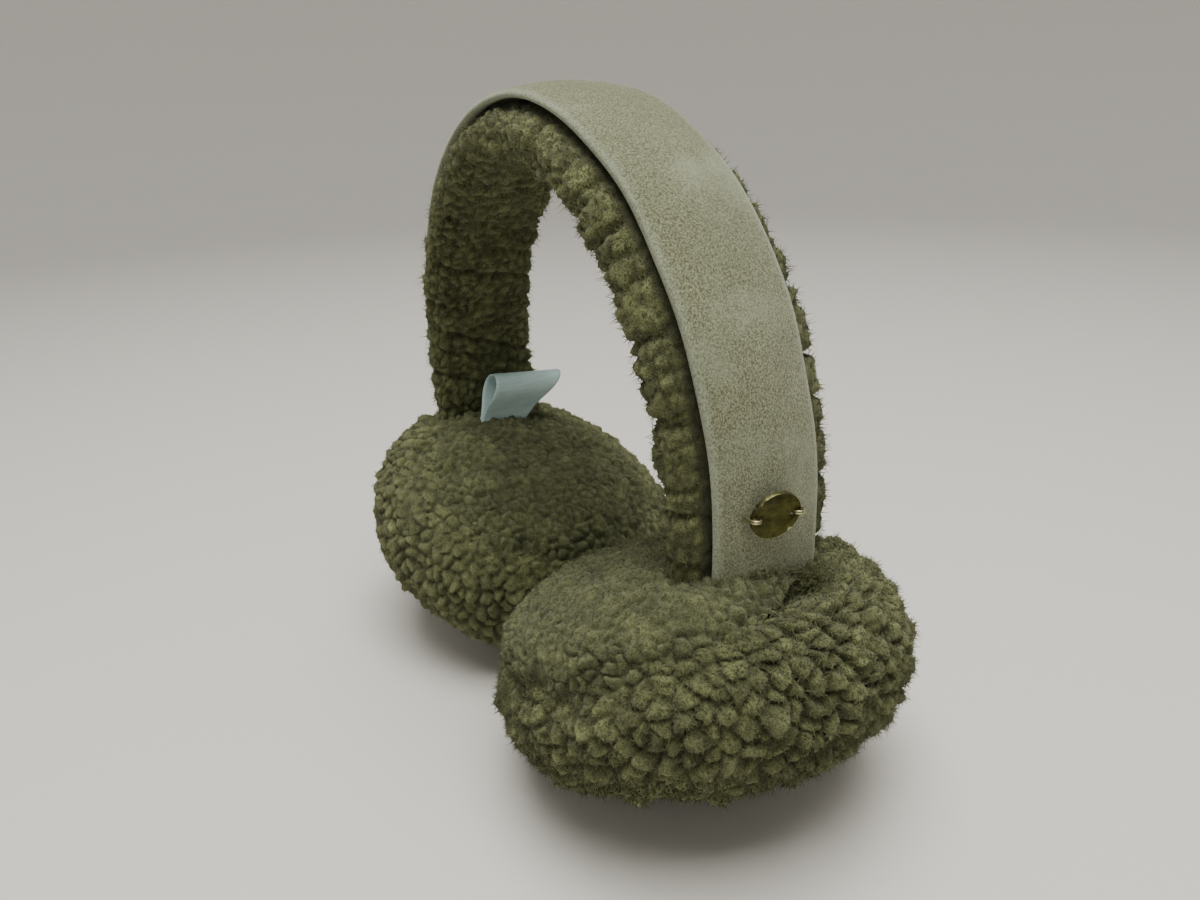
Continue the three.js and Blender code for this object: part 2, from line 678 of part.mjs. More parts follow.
addPiece('suede_band', suedeWithHoles, MATERIALS.suede);
addPiece('band_fleece', fleece, MATERIALS.fleece);
for (const { pad, outer, ear } of padSolids) {
  addPiece(`${pad.name}_pad_outer`, outer, MATERIALS.fleece);
  addPiece(`${pad.name}_pad_ear`, ear, MATERIALS.earFleece);
}
addPiece('button_disc', buttonSolid().transform(buttonFrame().elements), MATERIALS.brass);
addPiece('button_loop_front', loops[0], MATERIALS.wire);
addPiece('button_loop_back', loops[1], MATERIALS.wire);
addPiece('care_label', label, MATERIALS.satin);

const extent = new THREE.Box3().setFromObject(group);
const middle = extent.getCenter(new THREE.Vector3());
group.position.set(-middle.x, -middle.y, -extent.min.z);

export default group;
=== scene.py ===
# %% [markdown]
# # Shearling earmuffs in Blender
# A pair of earmuffs is a headband with a soft pad at each end. This one is sheepskin all over: a
# suede strip outside, a thick fleece inside, and two curly pads that it stands on.
# The construction is already settled in a fixed frame. This script gives every piece its surface:
# wool that curls, suede with a nap, a darkened brass disc and a satin tape.

# %% Load the fixed frame
import math

import bmesh
import bpy
import numpy as np
from mathutils import Matrix, Vector, noise
from mathutils.kdtree import KDTree


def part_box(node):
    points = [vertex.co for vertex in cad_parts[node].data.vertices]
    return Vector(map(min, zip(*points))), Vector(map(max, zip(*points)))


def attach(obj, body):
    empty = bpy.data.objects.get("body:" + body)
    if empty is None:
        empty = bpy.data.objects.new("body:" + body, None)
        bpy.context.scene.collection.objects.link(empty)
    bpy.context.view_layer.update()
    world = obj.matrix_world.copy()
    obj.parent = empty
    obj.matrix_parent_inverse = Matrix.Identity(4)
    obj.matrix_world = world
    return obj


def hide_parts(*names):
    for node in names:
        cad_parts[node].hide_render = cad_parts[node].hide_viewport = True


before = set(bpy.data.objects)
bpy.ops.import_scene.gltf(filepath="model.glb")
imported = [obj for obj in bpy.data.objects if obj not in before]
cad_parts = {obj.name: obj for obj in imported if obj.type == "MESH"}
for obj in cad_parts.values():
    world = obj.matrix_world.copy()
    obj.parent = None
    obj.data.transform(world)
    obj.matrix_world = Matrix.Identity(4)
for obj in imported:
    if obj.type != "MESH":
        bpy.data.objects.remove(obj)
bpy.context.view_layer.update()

MM = 0.001

# %% [markdown]
# ## The camera
# The camera is set first, because everything else is judged through it. Its place was worked out
# from the photograph's straight and round edges. The lens is a compact camera's at its wide end,
# about 26 mm, and it looks down a little from the front right corner.

# %% Place the camera
LENS = 26.1
CAMERA_PLACE = Vector((240.93, -156.29, 212.79)) * MM
CAMERA_AZIMUTH = math.radians(56.92)
CAMERA_PITCH = math.radians(22.51)
CAMERA_ROLL = math.radians(-1.96)

level = Vector((-math.sin(CAMERA_AZIMUTH), math.cos(CAMERA_AZIMUTH), 0))
sideways = Vector((math.cos(CAMERA_AZIMUTH), math.sin(CAMERA_AZIMUTH), 0))
ahead = level * math.cos(CAMERA_PITCH) - Vector((0, 0, math.sin(CAMERA_PITCH)))
upright = sideways.cross(ahead)
camera_right = sideways * math.cos(CAMERA_ROLL) + upright * math.sin(CAMERA_ROLL)
camera_up = upright * math.cos(CAMERA_ROLL) - sideways * math.sin(CAMERA_ROLL)

camera_data = bpy.data.cameras.new("camera")
camera_data.lens = LENS
camera_data.sensor_width = 36
camera_data.clip_start = 0.01
camera = bpy.data.objects.new("camera", camera_data)
bpy.context.scene.collection.objects.link(camera)
turn = Matrix((camera_right, camera_up, -ahead)).transposed().to_4x4()
camera.matrix_world = Matrix.Translation(CAMERA_PLACE) @ turn
bpy.context.scene.camera = camera
print("camera looks along", [round(v, 3) for v in ahead])

# %% [markdown]
# ## The line of the headband
# Everything on the band follows one arch. Over the head it is half an ellipse, and below the
# temples the legs run on along a much gentler one. A point on the band is given by three lengths:
# how far along the arch, how far across the band, and how far out from the arch.

# %% Work out the arch from the frame
SUEDE_CROWN = 2.2 * MM
BAND_WIDTH = 38 * MM
HALF_BAND = BAND_WIDTH / 2
ARCH_RISE = 108.8 * MM
LEG_RISE = 45 * MM
LEG_SWEEP = 168 * MM
ARCH_LEAN = 0.04

suede_low, suede_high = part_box("suede_band")
MIDDLE_X = (suede_low.x + suede_high.x) / 2
MIDDLE_Y = suede_high.y - HALF_BAND
ARCH_HALF = (suede_high.x - suede_low.x) / 2 - SUEDE_CROWN
SPRING = suede_high.z - SUEDE_CROWN - ARCH_RISE
LEG_END = SPRING - LEG_RISE

leg_angle = math.asin(LEG_RISE / LEG_SWEEP)
arch_angle = np.linspace(-1, 1, 3001) * (math.pi / 2 + leg_angle)
arch_rise = np.where(np.cos(arch_angle) > 0, ARCH_RISE, LEG_SWEEP)
arch_x = MIDDLE_X + ARCH_HALF * np.sin(arch_angle)
arch_z = SPRING + arch_rise * np.cos(arch_angle)
arch_along = np.concatenate([[0], np.cumsum(np.hypot(np.diff(arch_x), np.diff(arch_z)))])
ARCH_LENGTH = float(arch_along[-1])
print(f"the arch is {ARCH_LENGTH / MM:.0f} mm long")


def arch_frame(along):
    """Places on the arch's line and the directions that point out of it."""
    step = 0.5 * MM
    inside = np.clip(along, step, ARCH_LENGTH - step)
    x0, x1 = (np.interp(inside + s, arch_along, arch_x) for s in (-step, step))
    z0, z1 = (np.interp(inside + s, arch_along, arch_z) for s in (-step, step))
    run_x, run_z = (x1 - x0) / (2 * step), (z1 - z0) / (2 * step)
    past = along - inside
    x = (x0 + x1) / 2 + past * run_x
    z = (z0 + z1) / 2 + past * run_z
    return x, z, -run_z, run_x


def on_band(along, across, out):
    """Points of the band, from lengths along, across and out."""
    x, z, out_x, out_z = arch_frame(np.asarray(along, float))
    x = x + out * out_x
    z = z + out * out_z
    y = MIDDLE_Y + across - ARCH_LEAN * (z - LEG_END)
    return np.stack([x, y, z], -1)


def arch_place(points):
    """Along, across and out for any points near the band."""
    step = 1 * MM
    lengths = np.arange(0, ARCH_LENGTH, step)
    x, z, out_x, out_z = arch_frame(lengths)
    nearest = np.empty(len(points), int)
    for start in range(0, len(points), 4000):
        part = points[start:start + 4000]
        gap = (part[:, 0, None] - x) ** 2 + (part[:, 2, None] - z) ** 2
        nearest[start:start + 4000] = gap.argmin(1)
    off_x, off_z = points[:, 0] - x[nearest], points[:, 2] - z[nearest]
    run = off_x * out_z[nearest] - off_z * out_x[nearest]
    out = off_x * out_x[nearest] + off_z * out_z[nearest]
    across = points[:, 1] - MIDDLE_Y + ARCH_LEAN * (points[:, 2] - LEG_END)
    return lengths[nearest] + run, across, out


# %% [markdown]
# ## Wool from arrays
# Real wool is a crowd: thousands of curls, and fibres on every curl. One fibre is modelled once,
# and then placed again and again with array arithmetic. The copies become one mesh, which is far
# quicker than thousands of objects.
# Each point carries two numbers for the material. "tip" runs from 0 at a root to 1 at a tip, and
# the material paints shade where it is low, at the roots and in the gaps between locks. "shade" is
# one random number for each lock, fibre or tuft, so that neighbours differ a little.

# %% Helpers that pass meshes to arrays and back
def triangles_of(bm):
    """The points and triangles of a bmesh."""
    bmesh.ops.triangulate(bm, faces=bm.faces)
    bm.verts.ensure_lookup_table()
    points = np.array([v.co for v in bm.verts], float)
    faces = np.array([[v.index for v in f.verts] for f in bm.faces], int)
    return points, faces


def face_normals(points, faces):
    """Each triangle's normal, as long as twice its area."""
    a, b, c = (points[faces[:, k]] for k in range(3))
    return np.cross(b - a, c - a)


def unit(vectors):
    """The vectors at a length of one."""
    return vectors / np.maximum(np.linalg.norm(vectors, axis=-1, keepdims=True), 1e-12)


def point_normals(points, faces):
    """Each point's normal, the mean of the triangles around it."""
    total = np.zeros_like(points)
    flat = face_normals(points, faces)
    for k in range(3):
        np.add.at(total, faces[:, k], flat)
    return unit(total)


def wool_part(points, faces, tip, shade):
    """One part of a woolly piece: its mesh and the two numbers that its material reads."""
    count = len(points)
    tip = np.broadcast_to(np.asarray(tip, float), count)
    shade = np.broadcast_to(np.asarray(shade, float), count)
    return {"points": points, "faces": faces, "tip": tip, "shade": shade}


def joined(parts):
    """Several parts as one."""
    starts = np.cumsum([0] + [len(p["points"]) for p in parts[:-1]])
    return {
        "points": np.concatenate([p["points"] for p in parts]),
        "faces": np.concatenate([p["faces"] + s for p, s in zip(parts, starts)]),
        "tip": np.concatenate([p["tip"] for p in parts]),
        "shade": np.concatenate([p["shade"] for p in parts]),
    }


def wool_mesh(name, part):
    """A mesh made of a part's arrays, with the two numbers on its points."""
    mesh = bpy.data.meshes.new(name)
    mesh.from_pydata(part["points"].tolist(), [], part["faces"].tolist())
    for key in ("tip", "shade"):
        layer = mesh.attributes.new(key, "FLOAT", "POINT")
        layer.data.foreach_set("value", part[key].astype(np.float32))
    mesh.shade_smooth()
    mesh.update()
    print(f"{name}: {len(part['faces'])} triangles")
    return mesh


# %% Helpers that finish a mesh and add it as a piece
def thicken(bm, thickness):
    """A sheet becomes a closed wall, with its faces pointing outwards."""
    bmesh.ops.recalc_face_normals(bm, faces=bm.faces)
    bmesh.ops.solidify(bm, geom=bm.faces[:], thickness=thickness)
    bmesh.ops.recalc_face_normals(bm, faces=bm.faces)


def smooth_mesh(bm, name):
    """The bmesh as a mesh with smooth shading."""
    mesh = bpy.data.meshes.new(name)
    bm.to_mesh(mesh)
    bm.free()
    mesh.shade_smooth()
    return mesh


def add_piece(name, mesh, material, slot, *node_names):
    """A finished mesh as a piece that rides on the frame and may stand for nodes."""
    piece = bpy.data.objects.new(name, mesh)
    bpy.context.scene.collection.objects.link(piece)
    mesh.materials.append(material)
    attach(piece, "root")
    if node_names:
        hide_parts(*node_names)
    return piece


def add_wool(name, part, material, slot, node_name):
    """A woolly piece, from a part's arrays."""
    return add_piece(name, wool_mesh(name, part), material, slot, node_name)


# %% [markdown]
# ### One fibre
# The fibre is a cone with three sides and no more, because tens of thousands of them are needed. Its
# upper radius is 0, so it ends in one point.

# %% Model one fibre
def fibre_pattern():
    """A thin three-sided spike along z, one long."""
    bm = bmesh.new()
    bmesh.ops.create_cone(bm, cap_ends=True, segments=3, radius1=1, radius2=0, depth=1)
    bmesh.ops.translate(bm, verts=bm.verts, vec=(0, 0, 0.5))
    points, faces = triangles_of(bm)
    bm.free()
    return points, faces


FIBRE = fibre_pattern()
print("faces of a fibre:", len(FIBRE[1]))

# %% [markdown]
# ### Lumps
# Wool is nowhere smooth. A lattice of random numbers, blended softly between its points, gives a
# bumpy value at any place in space. It works on whole arrays at once, so that it is quick enough
# for every point of the wool. The numbers come from scrambling the lattice's whole coordinates with
# large primes. Rounded clumps come from Blender's own cell noise, one point at a time.

# %% Noise for arrays of points
STRIDES = (73856093, 19349663, 83492791)
SEED_STRIDE = 2654435761
SCRAMBLER = 1274126177


def soft_noise(points, size, seed=0):
    """A smooth random value from -1 to 1 at each point, with bumps of about the given size."""
    place = points / size
    cell = np.floor(place).astype(np.int64)
    part = place - cell
    part = part * part * (3 - 2 * part)
    total = np.zeros(points.shape[:-1])
    for corner in range(8):
        step = np.array([corner & 1, corner >> 1 & 1, corner >> 2 & 1])
        at = cell + step
        code = seed * SEED_STRIDE
        for axis, stride in enumerate(STRIDES):
            code = code ^ at[..., axis] * stride
        code = (code ^ (code >> 13)) * SCRAMBLER & 0xFFFFFFFF
        code = (code ^ (code >> 16)) & 0xFFFF
        share = np.where(step, part, 1 - part).prod(-1)
        total += share * (code / 32767.5 - 1)
    return total


def clumps(points, size, seed):
    """A value from about -1 in the valleys to 1 on top of rounded clumps of the given size."""
    shifted = points / size + seed * 7.3
    return np.array([1 - 2.2 * noise.voronoi(p)[0][0] for p in shifted.tolist()])


def smooth(value, low, high):
    """A soft step from 0 at low to 1 at high."""
    share = np.clip((value - low) / (high - low), 0, 1)
    return share * share * (3 - 2 * share)


# %% [markdown]
# ### Roots
# Roots are scattered over a surface like seeds, never closer together than a set spacing. All the
# randomness comes from seeded generators, so that the wool is the same on every run.

# %% Scatter roots over a surface
TRIES = 7


def random_places(points, faces, count, rng, weight=None):
    """Random places on a mesh, evenly by area or by a weight for each face, with their normals."""
    flat = face_normals(points, faces)
    size = np.linalg.norm(flat, axis=1)
    if weight is not None:
        size = size * weight
    picked = rng.choice(len(faces), count, p=size / size.sum())
    u, v = rng.random(count), rng.random(count)
    u, v = np.where(u + v > 1, 1 - u, u), np.where(u + v > 1, 1 - v, v)
    a, b, c = (points[faces[picked, k]] for k in range(3))
    places = a + u[:, None] * (b - a) + v[:, None] * (c - a)
    return places, unit(flat[picked]), picked


def spaced_places(points, faces, spacing, rng):
    """Random places that keep at least the spacing from each other, from many tries for each one."""
    area = np.linalg.norm(face_normals(points, faces), axis=1).sum() / 2
    tries = int(TRIES * area / spacing**2)
    places, normals, _ = random_places(points, faces, tries, rng)
    cells, kept = {}, []
    for i, (place, key) in enumerate(zip(places, np.floor(places / spacing).astype(int).tolist())):
        x, y, z = key
        near = [
            j
            for dx in (-1, 0, 1) for dy in (-1, 0, 1) for dz in (-1, 0, 1)
            for j in cells.get((x + dx, y + dy, z + dz), ())
        ]
        if near and (((places[near] - place) ** 2).sum(1) < spacing**2).any():
            continue
        cells.setdefault((x, y, z), []).append(i)
        kept.append(i)
    return places[kept], normals[kept]


# %% [markdown]
# ### Locks
# Sheepskin grows in locks: bundles of curls with blunt round ends, pressed side by side with narrow
# dark gaps between them. Separate tubes would be the plain way, but they look like petals, because
# real locks mat together. So the surface itself is raised instead. Each point belongs to its nearest
# root, and its height follows a dome that falls steeply at the lock's border. Two finer sizes of
# lumps sit on the dome, and the whole lock leans over a little, so that it overlaps its neighbour.
# Here and there a patch of locks has matted together, and its gaps are shallower.

# %% Raise locks on a surface
WARP_DEPTH = 1.5 * MM
WARP_SIZE = 3.2 * MM
WARP_SEEDS = (11, 12, 13)
LUMP_SIZE = 2.3 * MM
LUMP_DEPTH = 0.6 * MM
GRAIN_SIZE = 1.2 * MM
GRAIN_DEPTH = 0.4 * MM
SWAY = 0.14
MATTED_SHARE = 0.35
MATTED_SIZE = 8 * MM
UNEVEN = 0.2
LOWEST_LOCK = 0.6
TALLEST_LOCK = 1.25


def nearest_locks(points, roots):
    """Each point's nearest root, and how far inside that lock's border the point lies."""
    tree = KDTree(len(roots))
    for i, root in enumerate(roots.tolist()):
        tree.insert(root, i)
    tree.balance()
    warp = np.stack([soft_noise(points, WARP_SIZE, seed) for seed in WARP_SEEDS], -1)
    found = [tree.find_n(place, 2) for place in (points + WARP_DEPTH * warp).tolist()]
    nearest = np.array([pair[0][1] for pair in found])
    inside = np.array([(pair[1][2] - pair[0][2]) / 2 for pair in found])
    return nearest, inside


def raised_locks(points, normals, owner, inside, depth, round_edge, lean, seed, combed=None):
    """The points lifted into locks, with their tip and shade numbers."""
    rng = np.random.default_rng(seed)
    count = owner.max() + 1
    tall = np.clip(1 + UNEVEN * rng.standard_normal(count), LOWEST_LOCK, TALLEST_LOCK)[owner]
    shade = rng.random(count)[owner]
    dome = np.sqrt(1 - (1 - np.clip(inside / round_edge, 0, 1)) ** 2)
    matted = MATTED_SHARE * smooth(soft_noise(points, MATTED_SIZE, seed=21), 0, 0.6)
    dome = matted + (1 - matted) * dome
    pattern = points if combed is None else combed
    lumps = LUMP_DEPTH * clumps(pattern, LUMP_SIZE, seed=4) * np.minimum(dome + 0.2, 1)
    grain = GRAIN_DEPTH * soft_noise(pattern, GRAIN_SIZE, seed=5)
    rise = depth * dome * tall + lumps + grain
    sway = SWAY * rng.standard_normal((count, 3))[owner]
    shift = (lean + sway) * (depth * (dome * tall) ** 1.5)[:, None]
    moved = points + normals * (rise - depth)[:, None] + shift
    # The tip number follows the dome, low in the gaps and high on top of each lock, so the material paints
    # shade into the gaps and light on the tops.
    tip = np.clip(0.12 + 0.75 * dome + 0.16 * lumps / LUMP_DEPTH, 0, 1)
    return moved, tip, shade


# %% [markdown]
# ### Fuzz
# Over everything lies the fuzz: fine fibres that leave the surface along it and away from it, and
# soften every outline. They are copies of the one spike, each with its own root, direction, length
# and shade.

# %% Grow fibres on a surface
def across_axes(direction):
    """Two directions square to each given one."""
    helper = np.where(np.abs(direction[:, 2:3]) < 0.9, [[0, 0, 1.0]], [[1.0, 0, 0]])
    first = unit(np.cross(direction, helper))
    return first, np.cross(direction, first)


def placed_fibres(roots, direction, long, thickness, tip, shade):
    """Copies of the fibre at the roots, each with its direction and length."""
    points, faces = FIBRE
    first, second = across_axes(direction)
    spread = points[None, :, 0:1] * first[:, None, :] + points[None, :, 1:2] * second[:, None, :]
    rise = (points[None, :, 2:3] - 0.1) * long[:, None, None]
    placed = roots[:, None, :] + thickness / 2 * spread + rise * direction[:, None, :]
    all_faces = faces[None] + (np.arange(len(roots)) * len(points))[:, None, None]
    tip = np.clip(tip[:, None] + 0.35 * points[None, :, 2], 0, 1.2)
    shade = np.repeat(shade, len(points))
    return wool_part(placed.reshape(-1, 3), all_faces.reshape(-1, 3), tip.ravel(), shade)


def grow_fibres(part, count, length, thickness, rng, lean=(0, 0, 0), swirl=0.65):
    """Fine fibres on a part's surface, each a thin spike, mostly where the tip number is high."""
    at_tip = part["tip"][part["faces"]].mean(1)
    shown = np.clip(at_tip - 0.15, 0.02, 1) ** 1.5
    places, normals, picked = random_places(part["points"], part["faces"], count, rng, shown)
    direction = unit(normals + lean + swirl * rng.standard_normal((count, 3)))
    facing = (direction * normals).sum(1, keepdims=True)
    direction = unit(direction + normals * np.maximum(0.25 - facing, 0))
    long = length * (0.45 + 1.1 * rng.random(count) ** 1.5)
    return placed_fibres(places, direction, long, thickness, at_tip[picked], rng.random(count))


# %% [markdown]
# ## The surface of the wool
# A curl's own surface is a fine grey-green felt of fibres: paler at the tips, which rub and bleach,
# and dark down at the roots. The dark roots and the gaps between locks are painted shade, where
# little light comes in, and the paler tops of the locks are partly painted light. The material mixes
# those colours by the "tip" number, shifts each lock a little by its "shade", and lays speckles of
# two sizes over both. A bump gives the grain that is too fine to model, and sheen gives the soft rim.

# %% Small helpers for materials
def new_material(name, **settings):
    """A material whose constant values sit on the shader's own sockets."""
    material = bpy.data.materials.new(name)
    material.use_nodes = True
    shader = material.node_tree.nodes["Principled BSDF"]
    for socket, value in settings.items():
        shader.inputs[socket.replace("_", " ")].default_value = value
    return material, material.node_tree, shader


def set_socket(tree, place, value):
    """A socket gets its own number or colour, or a link from another node's output."""
    if isinstance(value, bpy.types.NodeSocket):
        tree.links.new(value, place)
    else:
        place.default_value = value


def node(tree, kind, **inputs):
    """A node with its inputs set to numbers or linked to other nodes' outputs."""
    made = tree.nodes.new(kind)
    for socket, value in inputs.items():
        set_socket(tree, made.inputs[socket.replace("_", " ")], value)
    return made


def noise_of(tree, scale, detail=2.0, roughness=0.5, stretch=None):
    """A noise pattern on the piece's own coordinates; scale is in patches for each metre."""
    place = node(tree, "ShaderNodeTexCoord").outputs["Object"]
    if stretch:
        place = node(tree, "ShaderNodeMapping", Vector=place, Scale=stretch).outputs["Vector"]
    return node(tree, "ShaderNodeTexNoise", Vector=place, Scale=scale, Detail=detail,
                Roughness=roughness).outputs["Fac"]


def spread_of(tree, value, low, high, to_low=0.0, to_high=1.0):
    """A value stretched from one range to another, and held inside it."""
    made = node(tree, "ShaderNodeMapRange", Value=value)
    for socket, number in zip(("From Min", "From Max", "To Min", "To Max"), (low, high, to_low, to_high)):
        made.inputs[socket].default_value = number
    return made.outputs["Result"]


MIX_COLOUR_INPUTS = (0, 6, 7)
MIX_COLOUR_OUTPUT = 2


def mixed(tree, share, first, second, way="MIX"):
    """Two colours mixed by a share. The node's other sockets are for numbers and vectors."""
    made = tree.nodes.new("ShaderNodeMix")
    made.data_type = "RGBA"
    made.blend_type = way
    for place, value in zip(MIX_COLOUR_INPUTS, (share, first, second)):
        set_socket(tree, made.inputs[place], value)
    return made.outputs[MIX_COLOUR_OUTPUT]


def attribute(tree, name):
    """A number that the mesh's points carry."""
    made = tree.nodes.new("ShaderNodeAttribute")
    made.attribute_name = name
    return made.outputs["Fac"]


def add_bump(tree, shader, height, distance):
    """Fine relief in the shader, from a pattern of heights."""
    bump = node(tree, "ShaderNodeBump", Height=height, Distance=distance, Strength=1.0)
    tree.links.new(bump.outputs["Normal"], shader.inputs["Normal"])


# %% Wool materials
def grey(tree, value):
    """A number as a grey colour."""
    return node(tree, "ShaderNodeCombineColor", Red=value, Green=value, Blue=value).outputs[0]


def wool_material(name, root, body, tip_colour, grain):
    """Wool with painted shade at its roots and pale tips that are partly painted light, with a speckled
    grain.
    """
    material, tree, shader = new_material(
        name, Roughness=1.0, Sheen_Weight=0.25, Sheen_Roughness=0.6, Sheen_Tint=(0.8, 0.82, 0.62, 1),
        Specular_IOR_Level=0.04)
    tip = attribute(tree, "tip")
    colour = mixed(tree, spread_of(tree, tip, 0.05, 0.6), root, body)
    colour = mixed(tree, spread_of(tree, tip, 0.6, 1.05), colour, tip_colour)
    patches = spread_of(tree, noise_of(tree, 120, detail=3), 0.35, 0.7, 0.72, 1.25)
    lock = spread_of(tree, attribute(tree, "shade"), 0, 1, 0.78, 1.2)
    speckle = spread_of(tree, noise_of(tree, 1 / grain, detail=3, roughness=0.75), 0.34, 0.66, 0.4, 1.6)
    for factor in (patches, lock, speckle):
        colour = mixed(tree, 1.0, colour, grey(tree, factor), "MULTIPLY")
    tree.links.new(colour, shader.inputs["Base Color"])
    add_bump(tree, shader, noise_of(tree, 1 / grain, detail=4, roughness=0.7), 1.6 * grain)
    return material


# The root colour is painted shade for the roots and the gaps between locks; the tip colours are partly the
# wool's own paler tips and partly painted light on top of the locks.
WOOL_ROOT_SHADE = (0.014, 0.014, 0.006, 1)
CURL_BODY = (0.080, 0.087, 0.034, 1)
CURL_TIP = (0.180, 0.195, 0.084, 1)
PILE_BODY = (0.072, 0.080, 0.033, 1)
PILE_TIP = (0.140, 0.154, 0.070, 1)
curly_wool = wool_material("curly wool", WOOL_ROOT_SHADE, CURL_BODY, CURL_TIP, 0.5 * MM)
pile_wool = wool_material("short pile", WOOL_ROOT_SHADE, PILE_BODY, PILE_TIP, 0.45 * MM)
print("wool materials:", curly_wool.name, "and", pile_wool.name)

# %% [markdown]
# ## The ear pads
# Each pad is a flattened ball, a little squarer than an ellipsoid. Its axis leans inwards and to the
# front, because the pads spread when the earmuffs stand on a table. A seam divides it: on the
# ear side the pile is clipped short, and the outer cover keeps its long curls.
# The pad's body starts as an icosphere, because its even triangles take a displacement well. Every
# point is moved along its own direction to the pad's surface.

# %% Sizes of the pads
PAD_RADIUS = 65.8 * MM
PAD_HALF_THICKNESS = 38.8 * MM
PAD_FULLNESS = 2.27
PAD_BASE_SINK = 4 * MM
SEAM_DISTANCE = 28 * MM
SEAM_DEPTH = 3.8 * MM
SEAM_WIDTH = 7 * MM
SEAM_LAP = 2.5 * MM
SEAM_TUCK = 2 * MM
SEAM_MARGIN = 9 * MM
TABLE_CLEARANCE = 0.25 * MM
PRESSED = 2.5 * MM
PAD_SAMPLES = 20000
PADS = {
    "right": {"side": 1, "centre": 0.686, "front": -0.044, "tilt": 24.7, "roll": 8.9,
              "seam_in": 20, "seam_front": 17},
    "left": {"side": -1, "centre": 0.606, "front": 0.036, "tilt": 22.2, "roll": 15.4,
             "seam_in": 26, "seam_front": -8},
}


# %% The shape of a pad
def turned(degrees, axis):
    """A turn about one axis, as a matrix."""
    return np.array(Matrix.Rotation(math.radians(degrees), 3, axis))


def pad_reach(pad, directions):
    """How far the wool reaches from the pad's centre, in each direction."""
    local = directions @ pad["turn"]
    round_share = np.hypot(local[:, 0], local[:, 1]) / PAD_RADIUS
    flat_share = np.abs(local[:, 2]) / PAD_HALF_THICKNESS
    return (round_share**PAD_FULLNESS + flat_share**PAD_FULLNESS) ** (-1 / PAD_FULLNESS)


def lay_pad(row):
    """A pad's centre, turn and seam, so that its lowest point is pressed into the table."""
    pad = dict(row)
    pad["turn"] = turned(-row["roll"], "X") @ turned(-row["tilt"] * row["side"], "Y")
    seam = turned(row["seam_front"], "X") @ turned(-row["seam_in"] * row["side"], "Y")
    pad["seam_axis"] = seam @ np.array([0, 0, 1.0])
    sphere = unit(np.random.default_rng(1).standard_normal((PAD_SAMPLES, 3)))
    low = (sphere[:, 2] * pad_reach(pad, sphere)).min()
    pad["centre"] = np.array([
        MIDDLE_X + row["side"] * row["centre"] * ARCH_HALF,
        MIDDLE_Y + row["front"] * PAD_RADIUS,
        -low - PAD_BASE_SINK,
    ])
    return pad


pads = {name: lay_pad(row) for name, row in PADS.items()}
for name, pad in pads.items():
    print(name, "pad's centre, in mm:", (pad["centre"] / MM).round(1))


def above_seam(pad, points):
    """Height over the seam's plane, towards the ear."""
    return (points - pad["centre"]) @ pad["seam_axis"] - SEAM_DISTANCE


def keep_off(pad, points):
    """Wool pressed by the table and by the other pad bends aside and never passes through them."""
    moved = points.copy()
    for axis, wall, side in ((2, TABLE_CLEARANCE, 1), (0, MIDDLE_X, pad["side"])):
        over = side * (moved[:, axis] - wall)
        bent = PRESSED * np.exp(np.minimum(over / PRESSED, 1) - 1)
        pressed = np.where(over < PRESSED, bent, over)
        moved[:, axis] = wall + side * pressed
    return moved


# %% [markdown]
# ### The pad's body
# The icosphere becomes the pad, and a plane beside the seam cuts off what isn't needed for this half.
# The plane lies a little past the seam, so that the two halves lap under each other and no crack
# shows, and the cut is closed with a flat face. The body stays smooth, because the locks are raised
# on it afterwards. Its triangles are about 0.8 mm long on the near pad and 0.9 mm on the far one,
# which is fine enough for the gaps between locks.

# %% Model one half of a pad
def pad_normals(pad, points):
    """Directions square to the pad's smooth surface."""
    local = (points - pad["centre"]) @ pad["turn"]
    arm = np.maximum(np.hypot(local[:, 0], local[:, 1]), 1e-9)
    power = PAD_FULLNESS - 1
    slope = (arm / PAD_RADIUS) ** power / PAD_RADIUS
    flat = (np.abs(local[:, 2]) / PAD_HALF_THICKNESS) ** power / PAD_HALF_THICKNESS
    sides = local[:, :2] * (slope / arm)[:, None]
    return unit(np.column_stack([sides, np.sign(local[:, 2]) * flat])) @ pad["turn"].T


def pinched(pad, points):
    """The points pulled in where the seam's thread holds the two halves together."""
    height = above_seam(pad, points)
    arm = points - pad["centre"]
    arm -= (arm @ pad["seam_axis"])[:, None] * pad["seam_axis"]
    pinch = SEAM_DEPTH * np.exp(-((height / SEAM_WIDTH) ** 2))
    return points - unit(arm) * np.minimum(pinch, np.linalg.norm(arm, axis=1) * 0.5)[:, None]


def tuck(pad, points, outer):
    """How deep a half's rim dives under the other half, so that no crack shows between them."""
    past = above_seam(pad, points) * (1 if outer else -1)
    return SEAM_TUCK * smooth(past, -1 * MM, SEAM_LAP)


